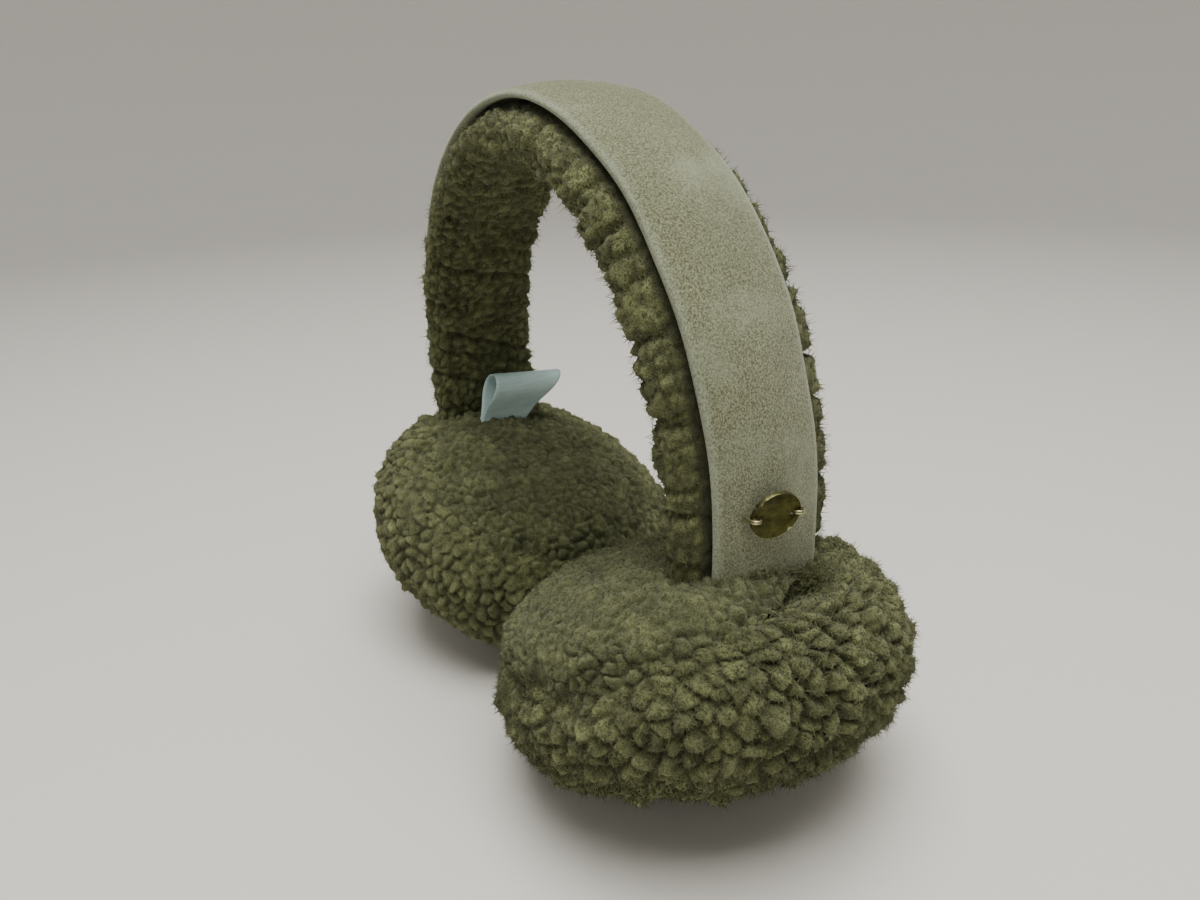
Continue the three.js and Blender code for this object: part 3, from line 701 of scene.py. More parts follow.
def pad_half(pad, outer, detail, cuts):
    """The smooth body of a pad's outer cover or of its ear side."""
    bm = bmesh.new()
    bmesh.ops.create_icosphere(bm, subdivisions=detail, radius=1)
    directions = unit(np.array([v.co for v in bm.verts]))
    height = above_seam(pad, pad["centre"] + directions * pad_reach(pad, directions)[:, None])
    wrong = height > SEAM_MARGIN if outer else height < -SEAM_MARGIN
    bmesh.ops.delete(bm, geom=[v for v, w in zip(bm.verts, wrong) if w], context="VERTS")
    bmesh.ops.subdivide_edges(bm, edges=bm.edges, cuts=cuts, use_grid_fill=True)
    directions = unit(np.array([v.co for v in bm.verts]))
    points = pad["centre"] + directions * pad_reach(pad, directions)[:, None]
    for vert, place in zip(bm.verts, pinched(pad, points)):
        vert.co = place
    seam_place = Vector(pad["centre"] + pad["seam_axis"] * SEAM_DISTANCE)
    lap = Vector(pad["seam_axis"]) * SEAM_LAP * (1 if outer else -1)
    cut = bmesh.ops.bisect_plane(
        bm, geom=bm.verts[:] + bm.edges[:] + bm.faces[:], plane_co=seam_place + lap,
        plane_no=Vector(pad["seam_axis"]), clear_outer=outer, clear_inner=not outer)
    rim = [e for e in cut["geom_cut"] if isinstance(e, bmesh.types.BMEdge)]
    bmesh.ops.edgeloop_fill(bm, edges=rim)
    bmesh.ops.recalc_face_normals(bm, faces=bm.faces)
    made = triangles_of(bm)
    bm.free()
    return made


# %% [markdown]
# ### The outer cover
# The cover keeps its long locks. They hang down a little, except over the pad's shoulder, where they
# are combed away from the band's leg. In front of the suede the leg presses a dip into the shoulder,
# which is called the saddle here. The near pad's fuzz of longer fibres is a piece of its own, so that
# neither mesh grows too large.

# %% Comb the locks and press the saddle
COMBED = 0.55
SHOULDER_LOW = 38 * MM
SHOULDER_HIGH = 62 * MM
SADDLE_DEPTH = 9 * MM
SADDLE_EDGE = 3 * MM
SADDLE_REACH = 17 * MM
SADDLE_BESIDE = 5 * MM
SADDLE_HIGH = 55 * MM


def combed_out(pad, points, normals):
    """How the locks near the band's leg are combed away from it, over the pad's shoulder."""
    leg = np.array([MIDDLE_X + pad["side"] * ARCH_HALF, MIDDLE_Y, 0])
    away = points - leg
    away[:, 2] = 0
    flat = unit(away)
    flat -= (flat * normals).sum(1, keepdims=True) * normals
    share = smooth(points[:, 2], SHOULDER_LOW, SHOULDER_HIGH)
    return flat, share


def combed_back(pad, points, flat, share):
    """The points slid back against the combing, so that the cells there come out as long locks."""
    reach = ((points - pad["centre"]) * flat).sum(1) * share * COMBED
    return points - flat * reach[:, None]


def saddle(points):
    """How deep the suede's face presses the pad's shoulder down, in front of the strip."""
    _, across, out = arch_place(points)
    before = smooth(out, -SADDLE_EDGE, 0) * (1 - smooth(out, SADDLE_EDGE, SADDLE_REACH))
    beside = 1 - smooth(np.abs(across), 0.8 * HALF_BAND, HALF_BAND + SADDLE_BESIDE)
    return SADDLE_DEPTH * before * beside * smooth(points[:, 2], SHOULDER_LOW, SADDLE_HIGH)


# %% Raise the locks of an outer cover
COMB_LEAN = 0.4
DROOP = 0.28
COVER_SWELL = 1.1 * MM
COVER_SWELL_SIZE = 13 * MM
COVER_SEAM_WIDTH = 16 * MM
COVER_SEAM_SHARE = 0.4


def outer_cover(pad, row, seed):
    """The outer cover of one pad, raised into locks."""
    rng = np.random.default_rng(seed)
    points, faces = pad_half(pad, True, row["detail"], row["cuts"])
    normals = pad_normals(pad, points)
    roots, _ = spaced_places(points, faces, row["lock"] * MM, rng)
    flat, share = combed_out(pad, points, normals)
    combed = combed_back(pad, points, flat, share)
    root_combing = combed_out(pad, roots, pad_normals(pad, roots))
    owner, inside = nearest_locks(combed, combed_back(pad, roots, *root_combing))
    down = np.array([0, 0, -1.0]) + normals[:, 2:3] * normals
    lean = flat * (COMB_LEAN * share)[:, None] + down * (DROOP * (1 - share))[:, None]
    grown = smooth(-above_seam(pad, points), -2 * MM, COVER_SEAM_WIDTH)
    depth = row["depth"] * MM * (COVER_SEAM_SHARE + (1 - COVER_SEAM_SHARE) * grown)
    swell = COVER_SWELL * soft_noise(points, COVER_SWELL_SIZE, seed=31) * grown - tuck(pad, points, True)
    bare = points + normals * swell[:, None]
    bare[:, 2] -= saddle(points)
    edge = row["round"] * MM
    moved, tip, shade = raised_locks(bare, normals, owner, inside, depth, edge, lean, seed, combed)
    return wool_part(keep_off(pad, moved), faces, tip, shade)


def fuzz_over(pad, cover, count, length, thickness, seed):
    """Fibres over one pad's cover."""
    rng = np.random.default_rng(seed)
    fuzz = grow_fibres(cover, count, length, thickness, rng, lean=(0, 0, -0.25))
    fuzz["points"] = keep_off(pad, fuzz["points"])
    return fuzz


# %% Dress both outer covers
OUTER_COVERS = {
    "right": {"detail": 6, "cuts": 2, "lock": 4.7, "depth": 4.6, "round": 2.2,
              "fibres": 12500, "fuzz": 44500},
    "left": {"detail": 5, "cuts": 4, "lock": 4.0, "depth": 3.4, "round": 1.9,
             "fibres": 19000, "fuzz": 0},
}
FUZZ_LENGTH = 2.4 * MM
FUZZ_WIDTH = 0.3 * MM

for name, row in OUTER_COVERS.items():
    pad = pads[name]
    cover = outer_cover(pad, row, 20 + pad["side"])
    short = fuzz_over(pad, cover, row["fibres"], 0.7 * FUZZ_LENGTH, FUZZ_WIDTH, 60 + pad["side"])
    piece = add_wool(f"{name}_outer_wool", joined([cover, short]), curly_wool, "fleece", f"{name}_pad_outer")
    if row["fuzz"]:
        fuzz = fuzz_over(pad, cover, row["fuzz"], FUZZ_LENGTH, FUZZ_WIDTH, 80)
        add_wool(f"{name}_outer_fuzz", fuzz, curly_wool, "fleece", f"{name}_pad_outer")

# %% [markdown]
# ### The ear side
# On the ear side the pile is clipped to a few millimetres, so it looks like velvet with faint
# clumps. Its locks are narrower and far shallower, and its fibres are short and fine.

# %% Dress a pad's ear side with short pile
EAR_LOCK = 3.3 * MM
EAR_DEPTH = 1.3 * MM
EAR_ROUND = 1.5 * MM
EAR_SWELL = 0.9 * MM
EAR_SWELL_SIZE = 9 * MM
EAR_SEAM_WIDTH = 12 * MM
EAR_SEAM_GROWTH = 1.3
EAR_FIBRE = 1.7 * MM
EAR_FIBRE_WIDTH = 0.24 * MM
EAR_SIDES = {
    "right": {"detail": 6, "cuts": 2, "fibres": 14000},
    "left": {"detail": 5, "cuts": 4, "fibres": 10000},
}


def ear_side(pad, row, seed):
    """The clipped ear side of one pad."""
    rng = np.random.default_rng(seed)
    points, faces = pad_half(pad, False, row["detail"], row["cuts"])
    normals = pad_normals(pad, points)
    roots, _ = spaced_places(points, faces, EAR_LOCK, rng)
    owner, inside = nearest_locks(points, roots)
    swell = EAR_SWELL * soft_noise(points, EAR_SWELL_SIZE, seed=33) - tuck(pad, points, False)
    near_seam = 1 - smooth(above_seam(pad, points), 0, EAR_SEAM_WIDTH)
    depth = EAR_DEPTH * (1 + EAR_SEAM_GROWTH * near_seam)
    bare = points + normals * swell[:, None]
    lean = np.zeros(3)
    moved, tip, shade = raised_locks(bare, normals, owner, inside, depth, EAR_ROUND, lean, seed)
    pile = wool_part(keep_off(pad, moved), faces, 0.3 + 0.6 * tip, shade)
    fibres = grow_fibres(pile, row["fibres"], EAR_FIBRE, EAR_FIBRE_WIDTH, rng)
    fibres["points"] = keep_off(pad, fibres["points"])
    return joined([pile, fibres])


for name, pad in pads.items():
    wool = ear_side(pad, EAR_SIDES[name], 40 + pad["side"])
    ear = add_wool(f"{name}_ear_wool", wool, pile_wool, "ear_fleece", f"{name}_pad_ear")

# %% [markdown]
# ### Where the suede goes in
# The suede strip runs down into the pad's wool, and tufts of loose fibres climb over its end, fewer
# and fewer, so that no hard line shows. The line where the strip meets the pad is found by walking up
# from the band's end to the last point that lies inside the pad's smooth body. A tuft is a bundle of
# fibres with nearly one direction.

# %% Lap the wool over the suede's ends
COLLAR_TUFTS = {"right": 210, "left": 170}
TUFT_FIBRES = 22
TUFT_SPREAD = 2.2 * MM
TUFT_LENGTH = 3.2 * MM
TUFT_WIDTH = 0.3 * MM
TUFT_UP = 0.4
TUFT_OUT = 0.5
TUFT_STRAY = 0.6
FIBRE_STRAY = 0.4
COLLAR_CLIMB = 13 * MM
COLLAR_SINK = 4 * MM


def pad_line(pad, across, out):
    """How far along the arch the band goes into a pad, for places across it."""
    steps = np.arange(0, 90 * MM, 1 * MM)
    entry = np.empty(len(across))
    for i, (side_way, lift) in enumerate(zip(across, out)):
        along = ARCH_LENGTH - steps if pad["side"] > 0 else steps
        arm = on_band(along, side_way, lift) - pad["centre"]
        within = np.linalg.norm(arm, axis=1) < pad_reach(pad, unit(arm))
        entry[i] = along[np.nonzero(within)[0].max()] if within.any() else along[0]
    return entry


def suede_level(across):
    """How far the suede's face stands out from the arch."""
    return SUEDE_CROWN * (1 - np.clip(np.abs(across) / HALF_BAND, 0, 1) ** 2)


def collar(pad, tufts, seed):
    """Tufts that lap over the suede where it goes into a pad."""
    rng = np.random.default_rng(seed)
    across = rng.uniform(-1, 1, tufts) * HALF_BAND
    climb = COLLAR_CLIMB * rng.beta(1, 2.2, tufts) - COLLAR_SINK
    along = pad_line(pad, across, suede_level(across)) + pad["side"] * (SADDLE_DEPTH - climb)
    middle = on_band(along, across, suede_level(across))
    up = unit(on_band(along - pad["side"] * MM, across, suede_level(across)) - middle)
    outward = unit(on_band(along, across, suede_level(across) + MM) - middle)
    towards = unit(TUFT_UP * up + TUFT_OUT * outward + TUFT_STRAY * rng.standard_normal((tufts, 3)))
    roots = np.repeat(middle, TUFT_FIBRES, axis=0)
    roots += TUFT_SPREAD * 0.6 * rng.standard_normal(roots.shape)
    count = len(roots)
    towards, outward = (np.repeat(way, TUFT_FIBRES, axis=0) for way in (towards, outward))
    direction = unit(towards + FIBRE_STRAY * rng.standard_normal(roots.shape))
    facing = (direction * outward).sum(1, keepdims=True)
    direction = unit(direction + outward * np.maximum(0.15 - facing, 0))
    long = TUFT_LENGTH * (0.5 + rng.random(count))
    shade = np.repeat(rng.random(tufts), TUFT_FIBRES)
    return placed_fibres(roots, direction, long, TUFT_WIDTH, np.full(count, 1.1), shade)


for name, pad in pads.items():
    wool = collar(pad, COLLAR_TUFTS[name], 50 + pad["side"])
    add_wool(f"{name}_collar", wool, curly_wool, "fleece", f"{name}_pad_outer")

# %% [markdown]
# ## The fleece under the band
# The band's fleece is one long sheepskin with its wool towards the head. It bulges past the suede on
# both sides, and creases cross it where it bends. It is thicker near the legs than over the head,
# and it bulges further past the suede behind than in front. Short tables say how much, as shares of
# its two named sizes.

# %% The fleece's reach along the band
FLEECE_THICKNESS = 18 * MM
FLEECE_OVERHANG = 8 * MM
GROWTH_ALONG = [0, 0.36, 0.5, 0.64, 1]
GROWTH_FRONT = [0.5, 0.5, 0.7, 1, 1]
GROWTH_BACK = [0.5, 0.55, 0.8, 1.45, 1.6]
GROWTH_THICK = [1, 1.05, 1.25, 1.2, 1.15]


def fleece_reach(along):
    """How far the fleece stands past the suede's front and back edges, and how deep it is."""
    share = np.asarray(along) / ARCH_LENGTH
    front = np.interp(share, GROWTH_ALONG, GROWTH_FRONT) * FLEECE_OVERHANG
    back = np.interp(share, GROWTH_ALONG, GROWTH_BACK) * FLEECE_OVERHANG
    return front, back, np.interp(share, GROWTH_ALONG, GROWTH_THICK) * FLEECE_THICKNESS


# %% [markdown]
# ### The fleece's body
# The body starts as a closed cylinder. Its long edges are cut into many rings, and every point is
# then laid along the arch: the height in the cylinder becomes the length along the arch, and the
# circle becomes the fleece's rounded section.

# %% Model the fleece's body
FLEECE_TAIL = 12 * MM
FLEECE_SQUARENESS = 0.8
SUEDE_WALL = 2 * MM
SKIN_GAP = 0.4 * MM
CREASE_SPACING = 11 * MM
CREASE_DEPTH = 2.6 * MM
CREASE_WIDTH = 1.3 * MM
FLEECE_SIDES = 128
FLEECE_RINGS = 430

crease_rng = np.random.default_rng(5)
crease_count = int(ARCH_LENGTH / CREASE_SPACING)
crease_stray = 0.3 * crease_rng.standard_normal(crease_count)
crease_along = (np.arange(crease_count) + 0.5 + crease_stray) * CREASE_SPACING
crease_deep = CREASE_DEPTH * (0.3 + 0.9 * crease_rng.random(crease_count))
crease_slant = 0.3 * crease_rng.standard_normal(crease_count)


def crease_at(along, across):
    """How deep the creases cut at places of the fleece."""
    cut = np.zeros_like(along)
    for middle, deep, slant in zip(crease_along, crease_deep, crease_slant):
        off = along - middle - slant * across
        cut = np.maximum(cut, deep * np.exp(-((off / CREASE_WIDTH) ** 2)))
    return cut


def fleece_body():
    """The fleece's smooth body: a cylinder laid along the arch."""
    bm = bmesh.new()
    bmesh.ops.create_cone(bm, cap_ends=True, segments=FLEECE_SIDES, radius1=1, radius2=1, depth=1)
    long_edges = [e for e in bm.edges if abs(e.verts[0].co.z - e.verts[1].co.z) > 0.5]
    bmesh.ops.subdivide_edges(bm, edges=long_edges, cuts=FLEECE_RINGS, use_grid_fill=True)
    bmesh.ops.recalc_face_normals(bm, faces=bm.faces)
    at = np.array([v.co for v in bm.verts])
    along = FLEECE_TAIL + (at[:, 2] + 0.5) * (ARCH_LENGTH - 2 * FLEECE_TAIL)
    front, back, deep = fleece_reach(along)
    side = np.sign(at[:, 0]) * np.abs(at[:, 0]) ** FLEECE_SQUARENESS
    share = (np.sign(at[:, 1]) * np.abs(at[:, 1]) ** FLEECE_SQUARENESS + 1) / 2
    across = side * (HALF_BAND + np.where(at[:, 0] < 0, front, back))
    top = -(SUEDE_WALL + SKIN_GAP)
    out = share * (top + deep) - deep
    for vert, place in zip(bm.verts, on_band(along, across, out)):
        vert.co = place
    points, faces = triangles_of(bm)
    bm.free()
    return points, faces, along, across, out


# %% Dress the band with locks
BAND_LOCK = 3.5 * MM
BAND_DEPTH = 2.2 * MM
BAND_ROUND = 1.7 * MM
BAND_SWELL = 0.7 * MM
BAND_CLUMP = 9 * MM
BAND_FIBRES = 19000
BAND_FIBRE = 2.8 * MM
BAND_FIBRE_WIDTH = 0.3 * MM


def band_fleece(seed):
    """The whole fleece of the headband."""
    rng = np.random.default_rng(seed)
    points, faces, along, across, out = fleece_body()
    normals = point_normals(points, faces)
    roots, _ = spaced_places(points, faces, BAND_LOCK, rng)
    owner, inside = nearest_locks(points, roots)
    open_share = smooth(-out, SUEDE_WALL + 1 * MM, SUEDE_WALL + 5 * MM)
    beside = smooth(np.abs(across), HALF_BAND, HALF_BAND + 2 * MM)
    shown = np.maximum(open_share, beside)
    inner = smooth(-out, 9 * MM, 15 * MM)
    depth = BAND_DEPTH * (0.3 + 0.7 * inner)
    swell = BAND_SWELL * clumps(points, BAND_CLUMP, seed=3) - crease_at(along, across)
    bare = points + normals * (swell * shown)[:, None]
    moved, tip, shade = raised_locks(bare, normals, owner, inside, depth, BAND_ROUND, np.zeros(3), seed)
    moved = np.where(shown[:, None] > 0.02, moved, points)
    # Fleece under the suede keeps a low tip number, so the material paints it with the root's shade.
    tip = 0.12 + 0.85 * tip * shown
    wool = wool_part(moved, faces, tip, shade)
    fibres = grow_fibres(wool, BAND_FIBRES, BAND_FIBRE, BAND_FIBRE_WIDTH, rng)
    return joined([wool, fibres])


def clear_of_suede(points, margin):
    """Wool that would pass through the suede strip slides down under it."""
    along, across, out = arch_place(points)
    under = -(SUEDE_WALL + margin)
    below = (np.abs(across) < HALF_BAND + margin) & (out > under) & (out < SUEDE_CROWN + 2 * MM)
    moved = points.copy()
    x, z, out_x, out_z = arch_frame(along[below])
    drop = under - out[below]
    moved[below, 0] += drop * out_x
    moved[below, 2] += drop * out_z
    return moved


fleece = band_fleece(31)
fleece["points"] = clear_of_suede(fleece["points"], 0.3 * MM)
add_wool("band_wool", fleece, curly_wool, "fleece", "band_fleece")

# %% [markdown]
# ## The suede strip
# The strip is one long piece of suede, slightly crowned, with its edges turned in under it. A grid
# has the right layout for it: its rows run along the arch, and its columns follow one profile
# across. The outer columns are wrapped round the edge and back underneath, and the whole
# sheet is then given its thickness. Each point also notes how near it lies to an edge, because the
# material paints a pale highlight along the turned edge.

# %% Model the suede strip
SUEDE_THICK = 1.1 * MM
EDGE_ROUND = 1.25 * MM
TURNED_IN = 4 * MM
# How far in from each edge the painted highlight reaches.
EDGE_HIGHLIGHT_WIDTH = 2.6 * MM
SUEDE_WAVE = 0.3 * MM
SUEDE_WAVE_SIZE = 19 * MM
EDGE_WANDER = 0.55 * MM
EDGE_WANDER_SIZE = 30 * MM
EDGES_APART = 100 * MM
SUEDE_ROWS = 240
SUEDE_COLUMNS = 28


def suede_profile(count):
    """Across and out along the sheet's line, from one turned-in edge to the other."""
    flat = HALF_BAND - EDGE_ROUND
    arc = math.pi * EDGE_ROUND
    total = flat + arc + TURNED_IN
    way = np.linspace(-total, total, count)
    side, run = np.sign(way), np.abs(way)
    bend = np.clip(run - flat, 0, arc) / EDGE_ROUND
    across = np.minimum(run, flat) + EDGE_ROUND * np.sin(bend) - np.clip(run - flat - arc, 0, None)
    out = EDGE_ROUND * (np.cos(bend) - 1)
    return side * across, out + suede_level(across), total


def suede_strip():
    """The strip's mesh, and how wide its sheet is when it is flat."""
    bm = bmesh.new()
    bmesh.ops.create_grid(bm, x_segments=SUEDE_ROWS, y_segments=SUEDE_COLUMNS, size=1)
    at = np.array([v.co for v in bm.verts])
    across_line, out_line, half_sheet = suede_profile(SUEDE_COLUMNS + 1)
    share = np.linspace(-1, 1, SUEDE_COLUMNS + 1)
    along = (at[:, 0] + 1) / 2 * ARCH_LENGTH
    across = np.interp(at[:, 1], share, across_line)
    out = np.interp(at[:, 1], share, out_line)
    place = np.column_stack([along, across, 0 * along])
    out = out + SUEDE_WAVE * soft_noise(place, SUEDE_WAVE_SIZE, seed=41)
    side_place = np.column_stack([along, EDGES_APART * np.sign(across), 0 * along])
    wander = EDGE_WANDER * soft_noise(side_place, EDGE_WANDER_SIZE, seed=42)
    across = across + wander * np.abs(across) / HALF_BAND
    # Each point notes its share of the pale highlight painted along the turned edges.
    edge = bm.verts.layers.float.new("edge")
    edge_highlight = smooth(np.abs(across), HALF_BAND - EDGE_HIGHLIGHT_WIDTH, HALF_BAND - 0.3 * MM)
    for vert, target, value in zip(bm.verts, on_band(along, across, out), edge_highlight.tolist()):
        vert.co = target
        vert[edge] = value
    thicken(bm, SUEDE_THICK)
    return smooth_mesh(bm, "suede_strip"), 2 * half_sheet


# %% Suede material
SUEDE_DARK = (0.082, 0.084, 0.048, 1)
SUEDE_PALE = (0.270, 0.290, 0.180, 1)
# A pale colour for the brushed scuffs, which are wear, and for the painted highlight along the edges.
SUEDE_SCUFF_AND_HIGHLIGHT = (0.34, 0.38, 0.28, 1)

suede, tree, shader = new_material(
    "suede", Roughness=0.95, Sheen_Weight=0.35, Sheen_Roughness=0.5, Sheen_Tint=(0.9, 0.9, 0.78, 1),
    Specular_IOR_Level=0.08)
nap = noise_of(tree, 1750, detail=3, roughness=0.75)
colour = mixed(tree, spread_of(tree, nap, 0.4, 0.6), SUEDE_DARK, SUEDE_PALE)
brushed = noise_of(tree, 45, detail=4, roughness=0.6)
colour = mixed(tree, spread_of(tree, brushed, 0.5, 0.72, 0, 0.4), colour, SUEDE_SCUFF_AND_HIGHLIGHT)
stained = noise_of(tree, 26, detail=5, roughness=0.65)
shadow = grey(tree, spread_of(tree, stained, 0.3, 0.55, 0.82, 1.0))
colour = mixed(tree, 1.0, colour, shadow, "MULTIPLY")
# Painted highlight: the edge share, broken up by the nap, lays the pale colour along the turned edges.
painted_edge_highlight = node(tree, "ShaderNodeMath", Value=attribute(tree, "edge"))
painted_edge_highlight.operation = "MULTIPLY"
tree.links.new(spread_of(tree, nap, 0.35, 0.6, 0.25, 0.8), painted_edge_highlight.inputs[1])
colour = mixed(tree, painted_edge_highlight.outputs[0], colour, SUEDE_SCUFF_AND_HIGHLIGHT)
tree.links.new(colour, shader.inputs["Base Color"])
add_bump(tree, shader, noise_of(tree, 1300, detail=4, roughness=0.75), 0.45 * MM)

suede_mesh, sheet_width = suede_strip()
suede_piece = add_piece("suede_strip", suede_mesh, suede, "suede", "suede_band")
print(f"suede sheet: {sheet_width / MM:.0f} mm by {ARCH_LENGTH / MM:.0f} mm before its edges were turned in")

# %% [markdown]
# ## The brass disc
# A darkened brass disc hangs on two wire loops on the right leg. It is stamped from sheet: a flat
# plate with two holes, whose rim stands a little proud. A circle with two smaller circles in it is
# filled, which leaves the holes open, and then extruded, inset for the rim and bevelled.

# %% Model the disc
DISC_RADIUS = 7.3 * MM
DISC_THICK = 1.2 * MM
DISC_RIM = 0.5 * MM
DISC_RECESS = 0.2 * MM
HOLE_RADIUS = 1.1 * MM
HOLE_REACH = 5.3 * MM
DISC_TILT = math.radians(13.5)
DISC_TURN = math.radians(13)
DISC_ABOVE_END = 48 * MM
DISC_OFFSET = -3 * MM
DISC_GAP = 0.35 * MM
DISC_BEVEL = 0.14 * MM


def seat_frame():
    """The place on the suede under the disc: x across the band, y along it and z out of it."""
    along = ARCH_LENGTH - DISC_ABOVE_END
    seat = Vector(on_band(along, DISC_OFFSET, suede_level(DISC_OFFSET)))
    _, _, out_x, out_z = arch_frame(along)
    out = Vector((float(out_x), 0, float(out_z))).normalized()
    across = Vector((0, 1, 0))
    turn = Matrix((across, out.cross(across), out)).transposed().to_4x4()
    return Matrix.Translation(seat) @ turn


disc_lean = math.acos(math.cos(DISC_TURN) * math.cos(DISC_TILT))
DISC_LIFT = DISC_RADIUS * math.sin(disc_lean) + DISC_GAP
disc_turn = Matrix.Rotation(DISC_TILT, 4, "X") @ Matrix.Rotation(-DISC_TURN, 4, "Y")
disc_frame = seat_frame() @ Matrix.Translation((0, 0, DISC_LIFT)) @ disc_turn


def disc_mesh():
    """The disc as a mesh, in its place on its wires."""
    bm = bmesh.new()
    bmesh.ops.create_circle(bm, segments=96, radius=DISC_RADIUS)
    for side in (-1, 1):
        hole = Matrix.Translation((side * HOLE_REACH, 0, 0))
        bmesh.ops.create_circle(bm, segments=28, radius=HOLE_RADIUS, matrix=hole)
    bmesh.ops.triangle_fill(bm, edges=bm.edges[:], use_beauty=True, normal=(0, 0, 1))
    plate = bmesh.ops.extrude_face_region(bm, geom=bm.faces[:])
    top = [v for v in plate["geom"] if isinstance(v, bmesh.types.BMVert)]
    bmesh.ops.translate(bm, verts=top, vec=(0, 0, DISC_THICK))
    bmesh.ops.recalc_face_normals(bm, faces=bm.faces)
    face = [f for f in bm.faces if f.normal.z > 0.9 and f.calc_center_median().z > DISC_THICK / 2]
    bmesh.ops.inset_region(bm, faces=face, thickness=DISC_RIM, depth=-DISC_RECESS, use_even_offset=True)
    corners = [e for e in bm.edges if len(e.link_faces) == 2 and e.calc_face_angle() > 1.2]
    bmesh.ops.bevel(
        bm, geom=corners, offset=DISC_BEVEL, offset_type="OFFSET", segments=3, profile=0.5,
        affect="EDGES", material=-1, clamp_overlap=True)
    bmesh.ops.transform(bm, matrix=disc_frame, verts=bm.verts)
    bmesh.ops.recalc_face_normals(bm, faces=bm.faces)
    mesh = smooth_mesh(bm, "brass_disc")
    mesh.set_sharp_from_angle(angle=math.radians(40))
    print("disc:", len(mesh.polygons), "faces, tilted", round(math.degrees(disc_lean), 1), "degrees")
    return mesh


# %% Darkened brass
BRASS_DARK = (0.032, 0.032, 0.008, 1)
BRASS_PALE = (0.095, 0.092, 0.030, 1)
# A pale colour for the highlight painted on the disc's rims.
BRASS_RIM_HIGHLIGHT = (0.50, 0.47, 0.25, 1)

brass, tree, shader = new_material("darkened brass", Metallic=1.0, Specular_IOR_Level=0.5)
tarnish = noise_of(tree, 420, detail=5, roughness=0.65)
colour = mixed(tree, spread_of(tree, tarnish, 0.35, 0.7), BRASS_DARK, BRASS_PALE)
# Painted highlight: the mesh's pointiness lays a pale line along the sharp rims.
rim_highlight = node(tree, "ShaderNodeNewGeometry").outputs["Pointiness"]
colour = mixed(tree, spread_of(tree, rim_highlight, 0.52, 0.6), colour, BRASS_RIM_HIGHLIGHT)
tree.links.new(colour, shader.inputs["Base Color"])
tree.links.new(spread_of(tree, tarnish, 0.3, 0.7, 0.30, 0.5), shader.inputs["Roughness"])
add_bump(tree, shader, noise_of(tree, 1600, detail=4), 0.04 * MM)
add_piece("brass_disc", disc_mesh(), brass, "antique_brass", "button_disc")

# %% [markdown]
# ## The wire loops
# Each hole is held by a loop of thin wire, wound twice: up through the hole, over the rim and down
# into the suede. A curve with a round bevel is the natural tool for wire. Its points follow a
# staple, two straight legs with half a circle over them, a little to either side of the middle.

# %% Bend the wire
WIRE_RADIUS = 0.26 * MM
WIRE_APART = 0.34 * MM
WIRE_REACH = 1.6 * MM
WIRE_STEPS = 14
WIRE_DARK = (0.36, 0.32, 0.17, 1)
WIRE_PALE = (0.62, 0.58, 0.36, 1)


def staple(side, offset):
    """Points of one turn of wire through a hole."""
    sine, cosine = math.sin(DISC_TURN), math.cos(DISC_TURN)
    hole = HOLE_REACH * cosine - side * DISC_THICK / 2 * sine
    outside = DISC_RADIUS * cosine + DISC_THICK * sine + WIRE_RADIUS + DISC_GAP
    middle, half = (hole + outside) / 2, (outside - hole) / 2
    level = DISC_LIFT + side * HOLE_REACH * sine + DISC_THICK + WIRE_RADIUS + DISC_GAP - half * 0.4
    turns = [math.pi * (1 - k / WIRE_STEPS) for k in range(WIRE_STEPS + 1)]
    arc = [(middle + half * math.cos(a), level + half * math.sin(a)) for a in turns]
    line = [(hole, -WIRE_REACH), (hole, level / 2), *arc, (outside, level / 2), (outside, -WIRE_REACH)]
    return [seat_frame() @ Vector((side * x, offset, z)) for x, z in line]


def wire_piece(name, lines, radius, material, slot, *node_names):
    """A curve with a round section along each line of points."""
    curve = bpy.data.curves.new(name, "CURVE")
    curve.dimensions = "3D"
    curve.bevel_depth = radius
    curve.bevel_resolution = 3
    curve.use_fill_caps = True
    for line in lines:
        spline = curve.splines.new("POLY")
        spline.points.add(len(line) - 1)
        for point, place in zip(spline.points, line):
            point.co = (*place, 1)
        spline.use_smooth = True
    return add_piece(name, curve, material, slot, *node_names)


wire, tree, shader = new_material("brass wire", Metallic=1.0, Roughness=0.34, Specular_IOR_Level=0.5)
strands = noise_of(tree, 900, detail=3)
tone = mixed(tree, spread_of(tree, strands, 0.3, 0.7), WIRE_DARK, WIRE_PALE)
tree.links.new(tone, shader.inputs["Base Color"])
for side, name in ((-1, "front"), (1, "back")):
    turns = [staple(side, offset) for offset in (-WIRE_APART, WIRE_APART)]
    wire_piece(f"wire_{name}", turns, WIRE_RADIUS, wire, "loop_wire", f"button_loop_{name}")
print("two wire loops, wound twice")

# %% [markdown]
# ## The care label
# A satin tape is folded in half and sewn in where the band's leg meets the left pad. It stands up
# out of the wool as a slanting loop, open at both ends. A grid is the plain way to make a tape: one
# way it follows the loop's outline, and the other way it runs across the tape.

# %% Model the label
LABEL_WIDTH = 31 * MM
LABEL_RISE = 20 * MM
LABEL_SLANT = 12 * MM
LABEL_FOOT = 23 * MM
LABEL_FOLD = 11 * MM
LABEL_DROP = 4 * MM
LABEL_WALL = 1 * MM
LABEL_TAIL = 5 * MM
LABEL_PINCH = 0.7 * MM
TAPE_THICK = 0.3 * MM
TAPE_COLUMNS = 18
TAPE_WAVE = 0.35 * MM
TAPE_WAVE_SIZE = 9 * MM
label_low, label_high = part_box("care_label")
LABEL_X = (label_low.x + label_high.x) / 2
LABEL_Y = label_high.y - LABEL_SLANT - LABEL_WIDTH / 2
LABEL_Z = label_low.z + LABEL_TAIL


